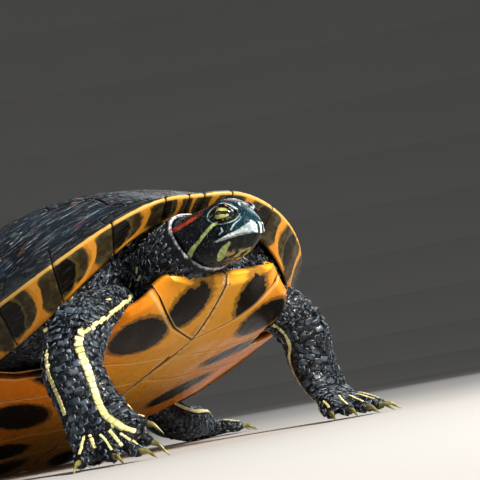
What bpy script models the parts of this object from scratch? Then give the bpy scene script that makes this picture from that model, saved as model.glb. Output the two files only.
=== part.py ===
"""Red-eared slider, adult female, life size: shell, body and limbs as named solids.

The animal faces -Y and its left is +X. It props the front of its shell up on its forelegs, with the rear
edge of the belly shell, the hind feet and the tail on the ground. Sizes are in millimetres until a mesh
is made. The shell is worked out level, in its own frame, and is then pitched up about its rear edge.
"""
import math

import bmesh
import bpy
from mathutils import Matrix, Vector

MM = 0.001
GAP = 0.3                      # left between neighbouring pieces

# Upper shell, seen from above: a superellipse about its widest place
HALF_WIDTH = 83.5
WIDEST_Y = 12.0
FRONT_REACH = 117.0
REAR_REACH = 102.0
RIM_POWER = 2.2
NUCHAL_NOTCH = 3.5             # how far the rim steps back at the nuchal scute
NOTCH_DEGREES = 7.0
APEX_HEIGHT = 87.0
KEEL_HEIGHT = 1.4
KEEL_HALF_WIDTH = 9.0
SCUTE_THICK = 2.6
TRUNK_CLEARANCE = 1.2          # between the scutes' flat facets and the trunk's
CORNER_DEGREES = 1.0           # blunts the two costal corners that run out to a point at the margin
BACK_CELLS = (6, 4)            # facets of a scute, front to rear and inside to outside
BELLY_CELLS = {"gular": (2, 2), "humeral": (4, 4), "pectoral": (2, 4), "abdominal": (4, 4),
               "femoral": (2, 4), "anal": (2, 4)}
NUCHAL_END = 1.7               # degrees round the rim, from the midline
MARGIN_SEAMS = [NUCHAL_END, 8.8, 23.7, 40.0] + [40.0 + 140.0 * k / 9 for k in range(1, 10)]
UNDER_WIDTH = 11.0             # of a marginal's underside, from the rim inwards
GROOVE_DEPTH = 0.45            # at a seam between marginals
GROOVE_DEGREES = 0.7           # from the seam to the groove's lip
REAR_NOTCH = 1.7               # how far the rim steps in at the rearmost seams, which makes the rear edge serrated

# Vertebral scutes: cross seams, half widths at the seams, and side corners as (half width, share of length)
VERTEBRAL_SEAMS = [-86.0, -58.0, -21.0, 19.0, 58.0]
SEAM_HALF_WIDTHS = [20.0, 16.0, 17.0, 17.0, 14.0]
SIDE_CORNERS = [(22.0, 0.4), (26.0, 0.5), (27.0, 0.5), (25.0, 0.5)]
COSTAL_ENDS = [14.0, 63.3, 94.4, 125.6, 163.0]   # degrees round the rim where the costal seams end

# Belly shell: the right half is the mirror of the left
PLASTRON_THICK = 3.4
FRONT_LIFT = 10.5              # how far the front lobe's tip turns up
FRONT_LIFT_FROM = -64.0
BRIDGE_HEIGHT = 10.0
BRIDGE_REACH = 55.0            # from the flat middle out to where the bridge meets the marginals
FLAT_HALF_WIDTH = 15.0
REAR_FLAT_Y = 91.0             # behind this the belly shell is level with the ground
GULAR_TIP_Y, GULAR_SEAM_Y, HUMERAL_SEAM_Y = -104.0, -68.2, -52.0
PECTORAL_SEAM_Y, ABDOMINAL_SEAM_Y, FEMORAL_SEAM_Y, ANAL_TIP_Y = -25.0, 27.0, 57.0, 92.0
GULAR_CORNER, LOBE_SHOULDER = (23.5, -102.0), (27.5, -97.5)
LIP_RISE, LIP_AT, LIP_WIDTH = 3.2, 23.0, 9.0     # the front lip stands higher at the gulars' outer corners
BRIDGE_START, BRIDGE_MIDDLE, BRIDGE_END = 68.0, 86.7, 106.0     # degrees round the rim

# Stance
PITCH = math.radians(14.4)
PIVOT_Y = REAR_FLAT_Y

# Head, about the tip of the snout. Rows: back from the tip, half width, top, bottom
SNOUT = (1.5, -118.0, 75.5)
HEAD_TURN = (math.radians(4.0), math.radians(1.0), math.radians(17.0))
HEAD_SIDES = 18
WIDE_FLATNESS, HIGH_FLATNESS = 0.92, 0.86      # under 1 squares off the head's cross section
HEAD_ROWS = [
    (0.4, 2.4, -0.2, -4.4), (2.0, 4.4, 2.2, -6.4), (5.0, 6.6, 4.9, -8.4), (9.0, 9.4, 8.6, -10.6),
    (13.5, 10.9, 10.7, -12.4), (19.0, 12.0, 10.2, -13.4), (25.0, 12.9, 8.8, -13.8),
    (31.0, 13.0, 7.6, -13.4), (36.0, 12.2, 6.8, -12.6),
]
EYE_CENTRE = (5.7, 10.6, 3.4)
EYE_RADIUS = 4.3
MOUTH_FRONT, MOUTH_CORNER = (-2.0, -4.8), (14.5, -6.4)          # back from the tip, height
JAW_HINGE_BACK, JAW_DEPTH = 23.0, -24.0

# Limbs
LIMB_SIDES = 12
TAIL_SIDES = 10
LIMB_POWER = 2.2               # 2 is a round cross section, more is squarer
ELBOW_ROW, WRIST_ROW, KNEE_ROW = 7, 12, 5      # rows of the rounded limb paths where a limb is parted
DIGIT_SIDES = 6
DIGIT_RADIUS = 3.1
CLAW_RISE = 0.9                # how far a claw arches above its straight line

COLOURS = {
    "back_shell": ((0.020, 0.026, 0.024), 0.35),
    "margin_shell": ((0.35, 0.22, 0.04), 0.40),
    "belly_shell": ((0.80, 0.42, 0.05), 0.42),
    "skin": ((0.035, 0.050, 0.045), 0.50),
    "eye": ((0.30, 0.36, 0.10), 0.08),
}


# ---------------------------------------------------------------- small tools
def blend(a, b, t):
    return a + (b - a) * t


def smooth(t):
    t = min(1.0, max(0.0, t))
    return t * t * (3.0 - 2.0 * t)


def signed_power(value, power):
    return math.copysign(abs(value) ** power, value)


def line(*points):
    """A broken line through plan points, each stretch taking an equal share of 0..1."""
    points = [Vector(p[:2]) for p in points]

    def at(t):
        t = min(1.0, max(0.0, t)) * (len(points) - 1)
        k = min(int(t), len(points) - 2)
        return points[k].lerp(points[k + 1], t - k)

    return at


def coons(front, rear, inner, outer):
    """A plan patch between four edges: front and rear run over u, inner (u 0) and outer (u 1) over v."""
    c00, c10, c01, c11 = front(0.0), front(1.0), rear(0.0), rear(1.0)

    def at(u, v):
        ruled = front(u) * (1 - v) + rear(u) * v + inner(v) * (1 - u) + outer(v) * u
        return ruled - (c00 * (1 - u) + c10 * u) * (1 - v) - (c01 * (1 - u) + c11 * u) * v

    return at


def mirrored(patch, side):
    return lambda u, v: Vector((side * patch(u, v).x, patch(u, v).y))


def material(name):
    """The named Principled material, made once."""
    made = bpy.data.materials.get(name)
    if made is None:
        colour, roughness = COLOURS[name]
        made = bpy.data.materials.new(name)
        made.use_nodes = True
        shader = made.node_tree.nodes["Principled BSDF"]
        shader.inputs["Base Color"].default_value = (*colour, 1.0)
        shader.inputs["Roughness"].default_value = roughness
        shader.inputs["Metallic"].default_value = 0.0
    return made


def new_collection(name):
    made = bpy.data.collections.new(name)
    bpy.context.scene.collection.children.link(made)
    return made


def empty(name, parent=None, location=(0.0, 0.0, 0.0), rotation=(0.0, 0.0, 0.0)):
    made = bpy.data.objects.new(name, None)
    made.parent = parent
    made.location = Vector(location) * MM
    made.rotation_euler = rotation
    PARTS.objects.link(made)
    return made


def add_mesh(name, points, faces, parent, finish=None):
    """A closed mesh from points in millimetres; with no finish it is a cutter."""
    mesh = bpy.data.meshes.new(name)
    bm = bmesh.new()
    corners = [bm.verts.new(Vector(p) * MM) for p in points]
    for face in faces:
        bm.faces.new([corners[i] for i in face])
    bmesh.ops.recalc_face_normals(bm, faces=bm.faces)
    if bm.calc_volume(signed=True) < 0:
        bmesh.ops.reverse_faces(bm, faces=bm.faces)
    bm.to_mesh(mesh)
    bm.free()
    made = bpy.data.objects.new(name, mesh)
    made.parent = parent
    if finish:
        mesh.materials.append(material(finish))
        PARTS.objects.link(made)
    else:
        made.hide_render = True
        made.display_type = "WIRE"
        CUTTERS.objects.link(made)
    return made


def boolean(target, other, operation="DIFFERENCE", solver="EXACT"):
    made = target.modifiers.new(operation.lower() + "_" + other.name, "BOOLEAN")
    made.operation = operation
    made.solver = solver
    made.object = other


def loft(name, rings, parent, finish=None):
    """A closed skin over rings of equally many points, each end closed by a fan."""
    count = len(rings[0])
    points = [p for ring in rings for p in ring]
    faces = []
    for r in range(len(rings) - 1):
        for i in range(count):
            j = (i + 1) % count
            faces.append((r * count + i, r * count + j, (r + 1) * count + j, (r + 1) * count + i))
    for ring, start in ((rings[0], 0), (rings[-1], (len(rings) - 1) * count)):
        middle = sum((Vector(p) for p in ring), Vector()) / count
        points.append(middle)
        faces += [(start + i, start + (i + 1) % count, len(points) - 1) for i in range(count)]
    return add_mesh(name, points, faces, parent, finish)


def slab(name, outer, inner, parent, finish=None):
    """A closed slab between two grids of points with the same rows and columns."""
    rows, columns = len(outer), len(outer[0])
    points = [p for grid in (outer, inner) for row in grid for p in row]
    index = lambda g, r, c: (g * rows + r) * columns + c
    faces = []
    for g in (0, 1):
        for r in range(rows - 1):
            for c in range(columns - 1):
                faces.append((index(g, r, c), index(g, r, c + 1), index(g, r + 1, c + 1), index(g, r + 1, c)))
    edge = [(0, c) for c in range(columns)] + [(r, columns - 1) for r in range(1, rows)]
    edge += [(rows - 1, c) for c in range(columns - 2, -1, -1)] + [(r, 0) for r in range(rows - 2, 0, -1)]
    for (r0, c0), (r1, c1) in zip(edge, edge[1:] + edge[:1]):
        faces.append((index(0, r0, c0), index(0, r1, c1), index(1, r1, c1), index(1, r0, c0)))
    return add_mesh(name, points, faces, parent, finish)


# ---------------------------------------------------------------- upper shell
def rim(degrees):
    """The shell's edge in plan: 0 is the front midline, positive to the left, 180 the rear midline."""
    s, c = math.sin(math.radians(degrees)), math.cos(math.radians(degrees))
    reach = FRONT_REACH if c >= 0 else REAR_REACH
    notch = NUCHAL_NOTCH * math.exp(-((degrees / NOTCH_DEGREES) ** 2))
    x = HALF_WIDTH * signed_power(s, 2 / RIM_POWER)
    return Vector((x, WIDEST_Y - reach * signed_power(c, 2 / RIM_POWER) + notch))


def rim_height(degrees):
    d = abs(degrees)
    return 23.0 + 22.6 * math.exp(-((d / 43.0) ** 2)) + 3.0 * max(0.0, (d - 125.0) / 55.0) ** 2


def margin_width(degrees):
    """From the rim in to the seam between the marginals and the shell's back."""
    return 16.0 + 5.0 * math.sin(math.radians(degrees)) ** 2


def margin_rise(degrees):
    """How much higher that seam is than the rim."""
    return 7.0 + 13.0 * math.sin(math.radians(degrees)) ** 2 + 5.0 * smooth((abs(degrees) - 120.0) / 60.0)


def under_drop(degrees):
    """How much lower the inner edge of a marginal's underside is than the rim."""
    d = abs(degrees)
    return 5.0 + 8.5 * smooth(d / 55.0) - 6.5 * smooth((d - 112.0) / 40.0)


def inward(degrees, distance):
    """The plan point that far inside the rim, towards the shell's middle."""
    edge = rim(degrees)
    return edge + (Vector((0.0, WIDEST_Y)) - edge).normalized() * distance


def back_seam(degrees):
    return inward(degrees, margin_width(degrees))


def bearing(x, y):
    """The rim angle whose spoke passes through a plan point."""
    ahead = WIDEST_Y - y
    reach = FRONT_REACH if ahead >= 0 else REAR_REACH
    s = (abs(x) / HALF_WIDTH) ** (RIM_POWER / 2)
    c = signed_power(ahead / reach, RIM_POWER / 2)
    return math.copysign(math.degrees(math.atan2(s, c)), x)


def dome(x, y):
    """Height of the shell's back inside the marginal seam."""
    angle = bearing(x, y)
    middle = Vector((0.0, WIDEST_Y))
    share = (Vector((x, y)) - middle).length / (back_seam(angle) - middle).length
    side = math.sin(math.radians(angle)) ** 2
    power = blend(blend(1.75, 2.15, smooth((abs(angle) - 90.0) / 90.0)), 2.5, side)
    foot = rim_height(angle) + margin_rise(angle)
    keel = KEEL_HEIGHT * math.exp(-((x / KEEL_HALF_WIDTH) ** 2)) * max(0.0, 1.0 - share)
    return APEX_HEIGHT - (APEX_HEIGHT - foot) * share ** power + keel


def surface_normal(height, x, y, step=0.5):
    slope_x = (height(x + step, y) - height(x - step, y)) / (2 * step)
    slope_y = (height(x, y + step) - height(x, y - step)) / (2 * step)
    return Vector((-slope_x, -slope_y, 1.0)).normalized()


def seam_end(k, side=1):
    return side * SEAM_HALF_WIDTHS[k], VERTEBRAL_SEAMS[k]


def side_corner(k, side=1):
    half_width, share = SIDE_CORNERS[k]
    return side * half_width, blend(VERTEBRAL_SEAMS[k], VERTEBRAL_SEAMS[k + 1], share)


def vertebral_patch(k):
    """Vertebral k, 0 to 4: u runs from the right to the left, v from the front to the rear."""
    front = line(seam_end(k, -1), seam_end(k))
    if k == 0:
        front = lambda u: back_seam(blend(-COSTAL_ENDS[0], COSTAL_ENDS[0], u))
    if k == 4:
        rear = lambda u: back_seam(blend(-COSTAL_ENDS[4], -360.0 + COSTAL_ENDS[4], u))
        return coons(front, rear, line(front(0.0), rear(0.0)), line(front(1.0), rear(1.0)))
    rear = line(seam_end(k + 1, -1), seam_end(k + 1))
    sides = [line(front(end), side_corner(k, side), rear(end)) for end, side in ((0.0, -1), (1.0, 1))]
    return coons(front, rear, *sides)


def costal_patch(k):
    """Left costal k, 0 to 3: u runs from the vertebrals out to the margin, v from the front to the rear."""
    start = COSTAL_ENDS[k] + (CORNER_DEGREES if k == 0 else 0.0)
    end = COSTAL_ENDS[k + 1] - (CORNER_DEGREES if k == 3 else 0.0)
    outer = lambda v: back_seam(blend(start, end, v))
    if k == 0:
        inner = line(back_seam(start - CORNER_DEGREES * 0.6), side_corner(0), seam_end(1), side_corner(1))
    elif k == 3:
        inner = line(side_corner(3), seam_end(4), back_seam(end + CORNER_DEGREES * 0.6))
    else:
        inner = line(side_corner(k), seam_end(k + 1), side_corner(k + 1))
    return coons(line(inner(0.0), outer(0.0)), line(inner(1.0), outer(1.0)), inner, outer)


def inset_grid(patch, rows, columns, inset=GAP / 2):
    """Plan points of a patch, pulled in from its edges by a fixed distance."""
    long_u = (patch(1.0, 0.5) - patch(0.0, 0.5)).length
    long_v = (patch(0.5, 1.0) - patch(0.5, 0.0)).length
    trim_u, trim_v = inset / long_u, inset / long_v
    return [[patch(blend(trim_u, 1 - trim_u, c / columns), blend(trim_v, 1 - trim_v, r / rows))
             for c in range(columns + 1)] for r in range(rows + 1)]


def scute(name, patch, height, thickness, parent, finish, cells, inset=GAP / 2, grow=0.0):
    """A slab of shell over a plan patch; thickness is measured into the shell, along the surface's normal."""
    outer, inner = [], []
    for row in inset_grid(patch, *cells, inset):
        tops = [Vector((p.x, p.y, height(p.x, p.y))) for p in row]
        normals = [surface_normal(height, p.x, p.y) for p in row]
        sign = math.copysign(1.0, thickness)
        outer.append([t + n * sign * grow for t, n in zip(tops, normals)])
        inner.append([t - n * (thickness + sign * grow) for t, n in zip(tops, normals)])
    return slab(name, outer, inner, parent, finish)


def margin_profile(degrees, sunk=0.0, notch=0.0):
    """Cross section of the marginals at a rim angle, as (distance inside the rim, height above the rim)."""
    width, rise, drop = margin_width(degrees), margin_rise(degrees), under_drop(degrees)
    return [
        (width - GAP / 2, rise - sunk), (width * 0.62, rise * 0.53 - sunk), (width * 0.28, rise * 0.20 + 0.4 - sunk),
        (1.3 + sunk + notch, 1.6 - sunk), (0.2 + sunk + notch, -0.6),
        (5.2 + sunk, -0.45 * drop - 0.6 + sunk), (UNDER_WIDTH, -drop + sunk),
        (UNDER_WIDTH, -drop + PLASTRON_THICK + 1.0), (width - GAP / 2, rise - 3.0),
    ]


def margin_ring(degrees, sunk=0.0, notch=0.0):
    height = rim_height(degrees)
    ring = []
    for distance, above in margin_profile(degrees, sunk, notch):
        spot = inward(degrees, distance)
        ring.append(Vector((spot.x, spot.y, height + above)))
    return ring


def marginals(name, side, parent):
    """One side's twelve marginals as one piece, with a groove at each seam."""
    rings = [margin_ring(side * (NUCHAL_END + 0.2))]
    for k, (start, end) in enumerate(zip(MARGIN_SEAMS, MARGIN_SEAMS[1:])):
        if k > 0:
            notch = REAR_NOTCH * smooth((start - 118.0) / 45.0)
            rings.append(margin_ring(side * start, GROOVE_DEPTH, notch))
            rings.append(margin_ring(side * (start + GROOVE_DEGREES)))
        rings.append(margin_ring(side * (start + end) / 2))
        if end < MARGIN_SEAMS[-1]:
            rings.append(margin_ring(side * (end - GROOVE_DEGREES)))
    rings.append(margin_ring(side * (MARGIN_SEAMS[-1] - 0.1), 0.0, REAR_NOTCH))
    loft(name, rings, parent, "margin_shell")


# ---------------------------------------------------------------- belly shell
def belly(x, y):
    """Height of the belly shell's lower face."""
    lift = FRONT_LIFT * (max(0.0, FRONT_LIFT_FROM - y) / (FRONT_LIFT_FROM - GULAR_TIP_Y)) ** 1.6
    side = BRIDGE_HEIGHT * (max(0.0, abs(x) - FLAT_HALF_WIDTH) / BRIDGE_REACH) ** 1.5
    corner = LIP_RISE * math.exp(-(((abs(x) - LIP_AT) / LIP_WIDTH) ** 2)) * smooth((-86.0 - y) / 15.0)
    return lift + corner + side + max(0.0, y - REAR_FLAT_Y) * math.tan(PITCH)


def under_edge(degrees):
    return inward(degrees, UNDER_WIDTH + GAP / 2)


def plastron_patches():
    """Left half, front to rear; u runs from the midline out, v from the front to the rear."""
    tip, gular_seam = (0.0, GULAR_TIP_Y), (0.0, GULAR_SEAM_Y)
    humeral_seam, humeral_end = (0.0, HUMERAL_SEAM_Y), (46.0, -50.0)
    pectoral_seam, abdominal_seam = (0.0, PECTORAL_SEAM_Y), (0.0, ABDOMINAL_SEAM_Y)
    femoral_seam, anal_tip = (0.0, FEMORAL_SEAM_Y), (0.0, ANAL_TIP_Y)
    middle, end = under_edge(BRIDGE_MIDDLE), under_edge(BRIDGE_END)
    start = under_edge(BRIDGE_START)
    front_pectoral = line(humeral_seam, humeral_end, (48.5, -37.5), (57.0, -31.5), start)
    inguinal_notch, abdominal_end = (54.0, 44.5), (47.0, 48.5)
    seam_gular = line(gular_seam, (14.0, -80.0), LOBE_SHOULDER)
    seam_humeral = line(humeral_seam, humeral_end)
    seam_pectoral = line(pectoral_seam, (35.0, -19.0), middle)
    seam_abdominal = line(abdominal_seam, (24.0, 30.0), abdominal_end)
    seam_femoral = line(femoral_seam, (20.0, 62.0), (40.0, 77.0))
    return {
        "gular": coons(line(tip, (12.0, -103.6), GULAR_CORNER), seam_gular,
                       line(tip, gular_seam), line(GULAR_CORNER, LOBE_SHOULDER)),
        "humeral": coons(seam_gular, seam_humeral, line(gular_seam, humeral_seam),
                         line(LOBE_SHOULDER, (37.0, -87.5), (43.0, -76.0), (45.6, -62.0), humeral_end)),
        "pectoral": coons(front_pectoral, seam_pectoral, line(humeral_seam, pectoral_seam),
                          line(start, under_edge(77.0), middle)),
        "abdominal": coons(seam_pectoral, seam_abdominal, line(pectoral_seam, abdominal_seam),
                           line(middle, under_edge(96.0), end, inguinal_notch, abdominal_end)),
        "femoral": coons(seam_abdominal, seam_femoral, line(abdominal_seam, femoral_seam),
                         line(abdominal_end, (45.5, 63.0), (40.0, 77.0))),
        "anal": coons(seam_femoral, line(anal_tip, (10.0, 95.5), (20.0, 95.0)), line(femoral_seam, anal_tip),
                      line((40.0, 77.0), (33.0, 88.0), (20.0, 95.0))),
    }


# ---------------------------------------------------------------- trunk
def trunk_edges(degrees):
    """Where the trunk's wall stands at a rim angle: inside the rim at its top and at its foot."""
    d = abs(degrees)
    top = margin_width(degrees) + 1.0
    bridged = smooth((d - BRIDGE_START + 6.0) / 10.0) * (1.0 - smooth((d - BRIDGE_END + 4.0) / 10.0))
    open_foot = blend(27.0, 25.0, smooth((d - 90.0) / 40.0))
    return top, blend(open_foot, UNDER_WIDTH + 4.4, bridged)


def trunk(parent):
    """All that fills the shell: its top follows the scutes, its wall is bare at the front and at the rear."""
    spokes = [15.0 * k for k in range(24)]
    middle = Vector((0.0, WIDEST_Y))

    def under_back(x, y):
        depth = (SCUTE_THICK + TRUNK_CLEARANCE) / surface_normal(dome, x, y).z
        return dome(x, y) - depth

    def on_belly(x, y):
        return belly(x, y) + PLASTRON_THICK / surface_normal(belly, x, y).z + TRUNK_CLEARANCE

    rows = []
    for kind, share in (("top", 0.6), ("top", 1.0), ("wall", 0.5), ("foot", None)):
        ring = []
        for angle in spokes:
            angle = angle - 360.0 if angle > 180.0 else angle
            top_in, foot_in = trunk_edges(angle)
            top, foot = inward(angle, top_in), inward(angle, foot_in)
            upper, lower = under_back(*top), on_belly(*foot)
            if kind == "top":
                spot = middle.lerp(top, share)
                ring.append((*spot, under_back(*spot)))
            elif kind == "wall":
                spot = top.lerp(foot, share)
                ring.append((*spot, blend(upper, lower, share)))
            else:
                ring.append((*foot, lower))
        rows.append(ring)
    return loft("trunk", rows, parent, "skin")


# ---------------------------------------------------------------- flesh
def smooth_path(stations, steps):
    """Rounds off a list of (x, y, z, half width, half height) with a Catmull-Rom curve."""
    rows = [Vector(s) for s in stations]
    ends = [rows[0] * 2 - rows[1]] + rows + [rows[-1] * 2 - rows[-2]]
    path = []
    for a, b, c, d in zip(ends, ends[1:], ends[2:], ends[3:]):
        for k in range(steps):
            t = k / steps
            path.append(0.5 * (2 * b + (c - a) * t + (2 * a - 5 * b + 4 * c - d) * t ** 2
                               + (3 * b - a - 3 * c + d) * t ** 3))
    return path + [rows[-1]]


def tube_rings(path, upward, sides=LIMB_SIDES, grow=0.0, back=None, whole=None):
    """Rings round a path; half width lies across the upward direction, half height along it.

    With back, the upward direction turns towards it along the path, over the number of rows in whole.
    """
    spots = [Vector(p[:3]) for p in path]
    whole = whole or len(path)
    rings = []
    for k, row in enumerate(path):
        ahead = (spots[min(k + 1, len(spots) - 1)] - spots[max(k - 1, 0)]).normalized()
        up = Vector(upward).lerp(Vector(back or upward), smooth(1.6 * k / whole))
        across = ahead.cross(up).normalized()
        rise = across.cross(ahead)
        middle = spots[k] + ahead * grow * ((k == len(path) - 1) - (k == 0))
        ring = []
        for i in range(sides):
            a = 2 * math.pi * i / sides
            wide = (row[3] + grow) * signed_power(math.cos(a), 2 / LIMB_POWER)
            high = (row[4] + grow) * signed_power(math.sin(a), 2 / LIMB_POWER)
            ring.append(middle + across * wide + rise * high)
        rings.append(ring)
    return rings


def start_after(rings):
    """The same rings with the first moved on by the gap, so a piece can follow another in line."""
    step = (sum(rings[1], Vector()) - sum(rings[0], Vector())).normalized() * GAP
    return [[p + step for p in rings[0]]] + rings[1:]


# Limb paths: x, y, z, half width, half height, from inside the trunk to the palm
FORELEG_RIGHT = [
    (-26.5, -47.0, 48.5, 8.4, 7.0), (-30.5, -62.0, 56.5, 7.8, 6.2), (-43.0, -74.5, 56.5, 8.2, 6.2),
    (-57.5, -83.0, 49.5, 9.8, 8.2), (-66.5, -87.0, 36.0, 10.2, 8.8), (-66.3, -91.5, 25.5, 10.2, 6.8),
    (-66.0, -95.5, 19.0, 10.8, 5.2), (-66.3, -100.0, 13.5, 12.0, 4.4), (-66.5, -104.0, 9.4, 11.8, 3.2),
    (-66.8, -109.0, 5.2, 11.2, 1.1),
]
FORELEG_LEFT = [
    (24.0, -36.0, 49.5, 9.0, 8.0), (38.0, -48.0, 51.0, 9.6, 8.6), (49.0, -56.0, 47.0, 9.8, 9.4),
    (57.0, -57.5, 36.5, 9.2, 9.6), (59.5, -56.5, 26.5, 9.6, 8.8), (60.5, -58.5, 18.0, 10.0, 6.6),
    (61.2, -62.0, 12.0, 10.6, 5.0), (61.2, -67.0, 8.0, 11.6, 4.2), (61.4, -71.5, 5.8, 11.8, 3.2),
    (61.8, -77.5, 3.4, 11.4, 1.1),
]
HIND_LEG = [
    (41.0, 60.0, 33.0, 9.0, 8.5), (49.0, 58.0, 24.0, 9.5, 9.0), (56.0, 56.0, 14.5, 9.5, 9.0),
    (65.0, 56.0, 9.4, 9.2, 7.6), (73.5, 60.0, 8.6, 9.0, 7.0), (79.5, 66.5, 7.6, 8.6, 6.0),
]
HIND_SOLE = [
    (73.0, 71.5, 5.4, 6.0, 4.6), (79.0, 70.0, 5.8, 9.0, 5.4), (86.0, 68.5, 5.0, 11.6, 4.4),
    (92.0, 67.0, 4.0, 12.8, 3.0), (98.0, 66.0, 2.6, 13.6, 1.0),
]
TAIL = [
    (0.0, 84.0, 17.0, 9.0, 8.0), (1.0, 97.0, 12.5, 7.0, 6.5), (3.5, 109.0, 6.6, 5.0, 4.8),
    (7.5, 121.0, 3.6, 3.4, 3.2), (13.0, 132.0, 1.7, 1.6, 1.5),
]
NECK_ROOT = [(-2.0, -41.0, 56.0, 13.5, 12.0), (-5.0, -58.0, 60.5, 14.6, 12.8)]
COLLAR = (0.0, 29.0, -2.0)     # its middle, from the tip of the snout
COLLAR_SIZE = (15.2, 13.0)
COLLAR_TILT = math.radians(28.0)
COLLAR_LENGTH = 15.0
NECK_SIDES = 16

# Digits, thumb side first: knuckle, claw base, claw tip
FOREDIGITS_RIGHT = [
    ((-57.5, -99.5, 15.0), (-53.0, -105.5, 12.5), (-49.5, -109.5, 8.5)),
    ((-60.0, -102.5, 11.0), (-55.5, -110.5, 6.2), (-52.0, -115.0, 1.0)),
    ((-64.5, -105.0, 8.5), (-61.5, -112.5, 3.4), (-59.0, -118.5, 0.0)),
    ((-69.5, -104.0, 8.0), (-71.0, -112.0, 3.2), (-71.5, -118.5, 0.0)),
    ((-74.0, -101.0, 8.5), (-80.5, -107.0, 3.2), (-85.0, -110.5, 0.0)),
]
FOREDIGITS_LEFT = [
    ((53.0, -69.0, 6.4), (49.0, -76.0, 3.2), (46.5, -81.5, 0.0)),
    ((57.0, -72.0, 6.0), (55.0, -80.0, 3.2), (53.5, -86.5, 0.0)),
    ((61.5, -73.0, 6.0), (62.0, -81.5, 3.2), (62.5, -88.0, 0.0)),
    ((66.0, -72.0, 6.0), (69.0, -80.0, 3.2), (71.5, -86.0, 0.0)),
    ((70.0, -69.0, 6.4), (75.5, -75.0, 3.2), (80.0, -79.5, 0.0)),
]
HIND_DIGITS = [
    ((88.5, 57.5, 4.4), (94.0, 52.5, 3.0), (98.5, 48.5, 0.0)),
    ((92.0, 61.5, 4.4), (98.5, 58.0, 3.0), (104.0, 55.5, 0.0)),
    ((93.5, 66.5, 4.4), (101.0, 65.5, 3.0), (107.0, 65.0, 0.0)),
    ((93.5, 72.0, 4.4), (101.0, 73.5, 3.0), (106.5, 75.0, 0.0)),
    ((90.5, 77.0, 4.4), (96.5, 81.0, 2.6), (100.0, 83.5, 0.0)),
]
UP = (0.0, 0.0, 1.0)
RIGHT_HAND_BACK = (-0.50, -0.75, 0.35)     # the way the back of the hand faces
LEFT_HAND_BACK = (0.20, -0.75, 0.60)


def mirror_stations(stations):
    return [(-s[0], *s[1:]) for s in stations]


def mirror_digits(digits):
    return [tuple((-p[0], p[1], p[2]) for p in digit) for digit in digits]


def sole_cutter(parent):
    """A block under the ground, which gives what stands there a small flat sole at height 0."""
    reach, depth = 160.0, 20.0
    points = [(x, y, z) for z in (-depth, 0.0) for y in (-reach, reach) for x in (-reach, reach)]
    faces = [(0, 1, 3, 2), (4, 5, 7, 6), (0, 1, 5, 4), (2, 3, 7, 6), (0, 2, 6, 4), (1, 3, 7, 5)]
    return add_mesh("ground_cutter", points, faces, parent)


def add_digits(foot, digits, palm_middle, back, parent):
    """Joins five digits to a palm; each narrows at its end to a curved claw."""
    radius = DIGIT_RADIUS
    for k, (knuckle, base, tip) in enumerate(digits):
        knuckle, base, tip = Vector(knuckle), Vector(base), Vector(tip)
        root = Vector(palm_middle).lerp(knuckle, 0.44 + 0.02 * k)
        flesh = [(*root, radius, radius * 0.8), (*knuckle, radius, radius * 0.95),
                 (*base, radius * 0.74, radius * 0.72)]
        bend = base.lerp(tip, 0.45) + Vector((0.0, 0.0, CLAW_RISE))
        claw = [(*bend, 1.1, 1.25), (*tip, 0.4, 0.45)]
        digit = loft(f"{foot.name}_digit_{k + 1}", tube_rings(flesh + claw, back, DIGIT_SIDES), parent)
        boolean(foot, digit, "UNION", "MANIFOLD")


def foreleg(side, path, digits, back, parent, ground):
    """Upper arm, forearm and forefoot in line, parted at the elbow and at the wrist."""
    fine = smooth_path(path, 2)
    rings = tube_rings(fine, UP, back=back)
    upper = loft(f"upper_arm_{side}", rings[:ELBOW_ROW + 1], parent, "skin")
    loft(f"forearm_{side}", start_after(rings[ELBOW_ROW:WRIST_ROW + 1]), parent, "skin")
    foot = loft(f"forefoot_{side}", start_after(rings[WRIST_ROW::2]), parent, "skin")
    add_digits(foot, digits, path[-3][:3], back, parent)
    boolean(foot, ground)
    near = tube_rings(fine[:ELBOW_ROW + 1], UP, back=back, grow=GAP, whole=len(fine))
    return upper, loft(f"arm_socket_{side}", near, parent)


def hind_leg(side, sign, parent, ground):
    """Thigh, shank and hindfoot; the shank stands on the foot."""
    path, sole, digits = HIND_LEG, HIND_SOLE, HIND_DIGITS
    if sign < 0:
        path, sole, digits = mirror_stations(path), mirror_stations(sole), mirror_digits(digits)
    fine = smooth_path(path, 2)
    rings = tube_rings(fine, UP)
    thigh = loft(f"thigh_{side}", rings[:KNEE_ROW + 1], parent, "skin")
    shank = loft(f"shank_{side}", start_after(rings[KNEE_ROW:]), parent, "skin")
    foot = loft(f"hindfoot_{side}", tube_rings(sole, UP), parent, "skin")
    add_digits(foot, digits, sole[-3][:3], UP, parent)
    boolean(shank, loft(f"foot_room_{side}", tube_rings(sole, UP, grow=2 * GAP), parent))
    boolean(foot, ground)
    boolean(shank, ground)
    return thigh, loft(f"thigh_socket_{side}", tube_rings(fine[:KNEE_ROW + 1], UP, grow=GAP), parent)


# ---------------------------------------------------------------- head
def head_rings(grow=0.0):
    rings = []
    for back, half_width, top, bottom in HEAD_ROWS:
        middle, half = (top + bottom) / 2, (top - bottom) / 2 + grow
        ring = []
        for i in range(HEAD_SIDES):
            a = 2 * math.pi * i / HEAD_SIDES
            ring.append(((half_width + grow) * signed_power(math.cos(a), WIDE_FLATNESS), back,
                         middle + half * signed_power(math.sin(a), HIGH_FLATNESS)))
        rings.append(ring)
    return rings


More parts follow.
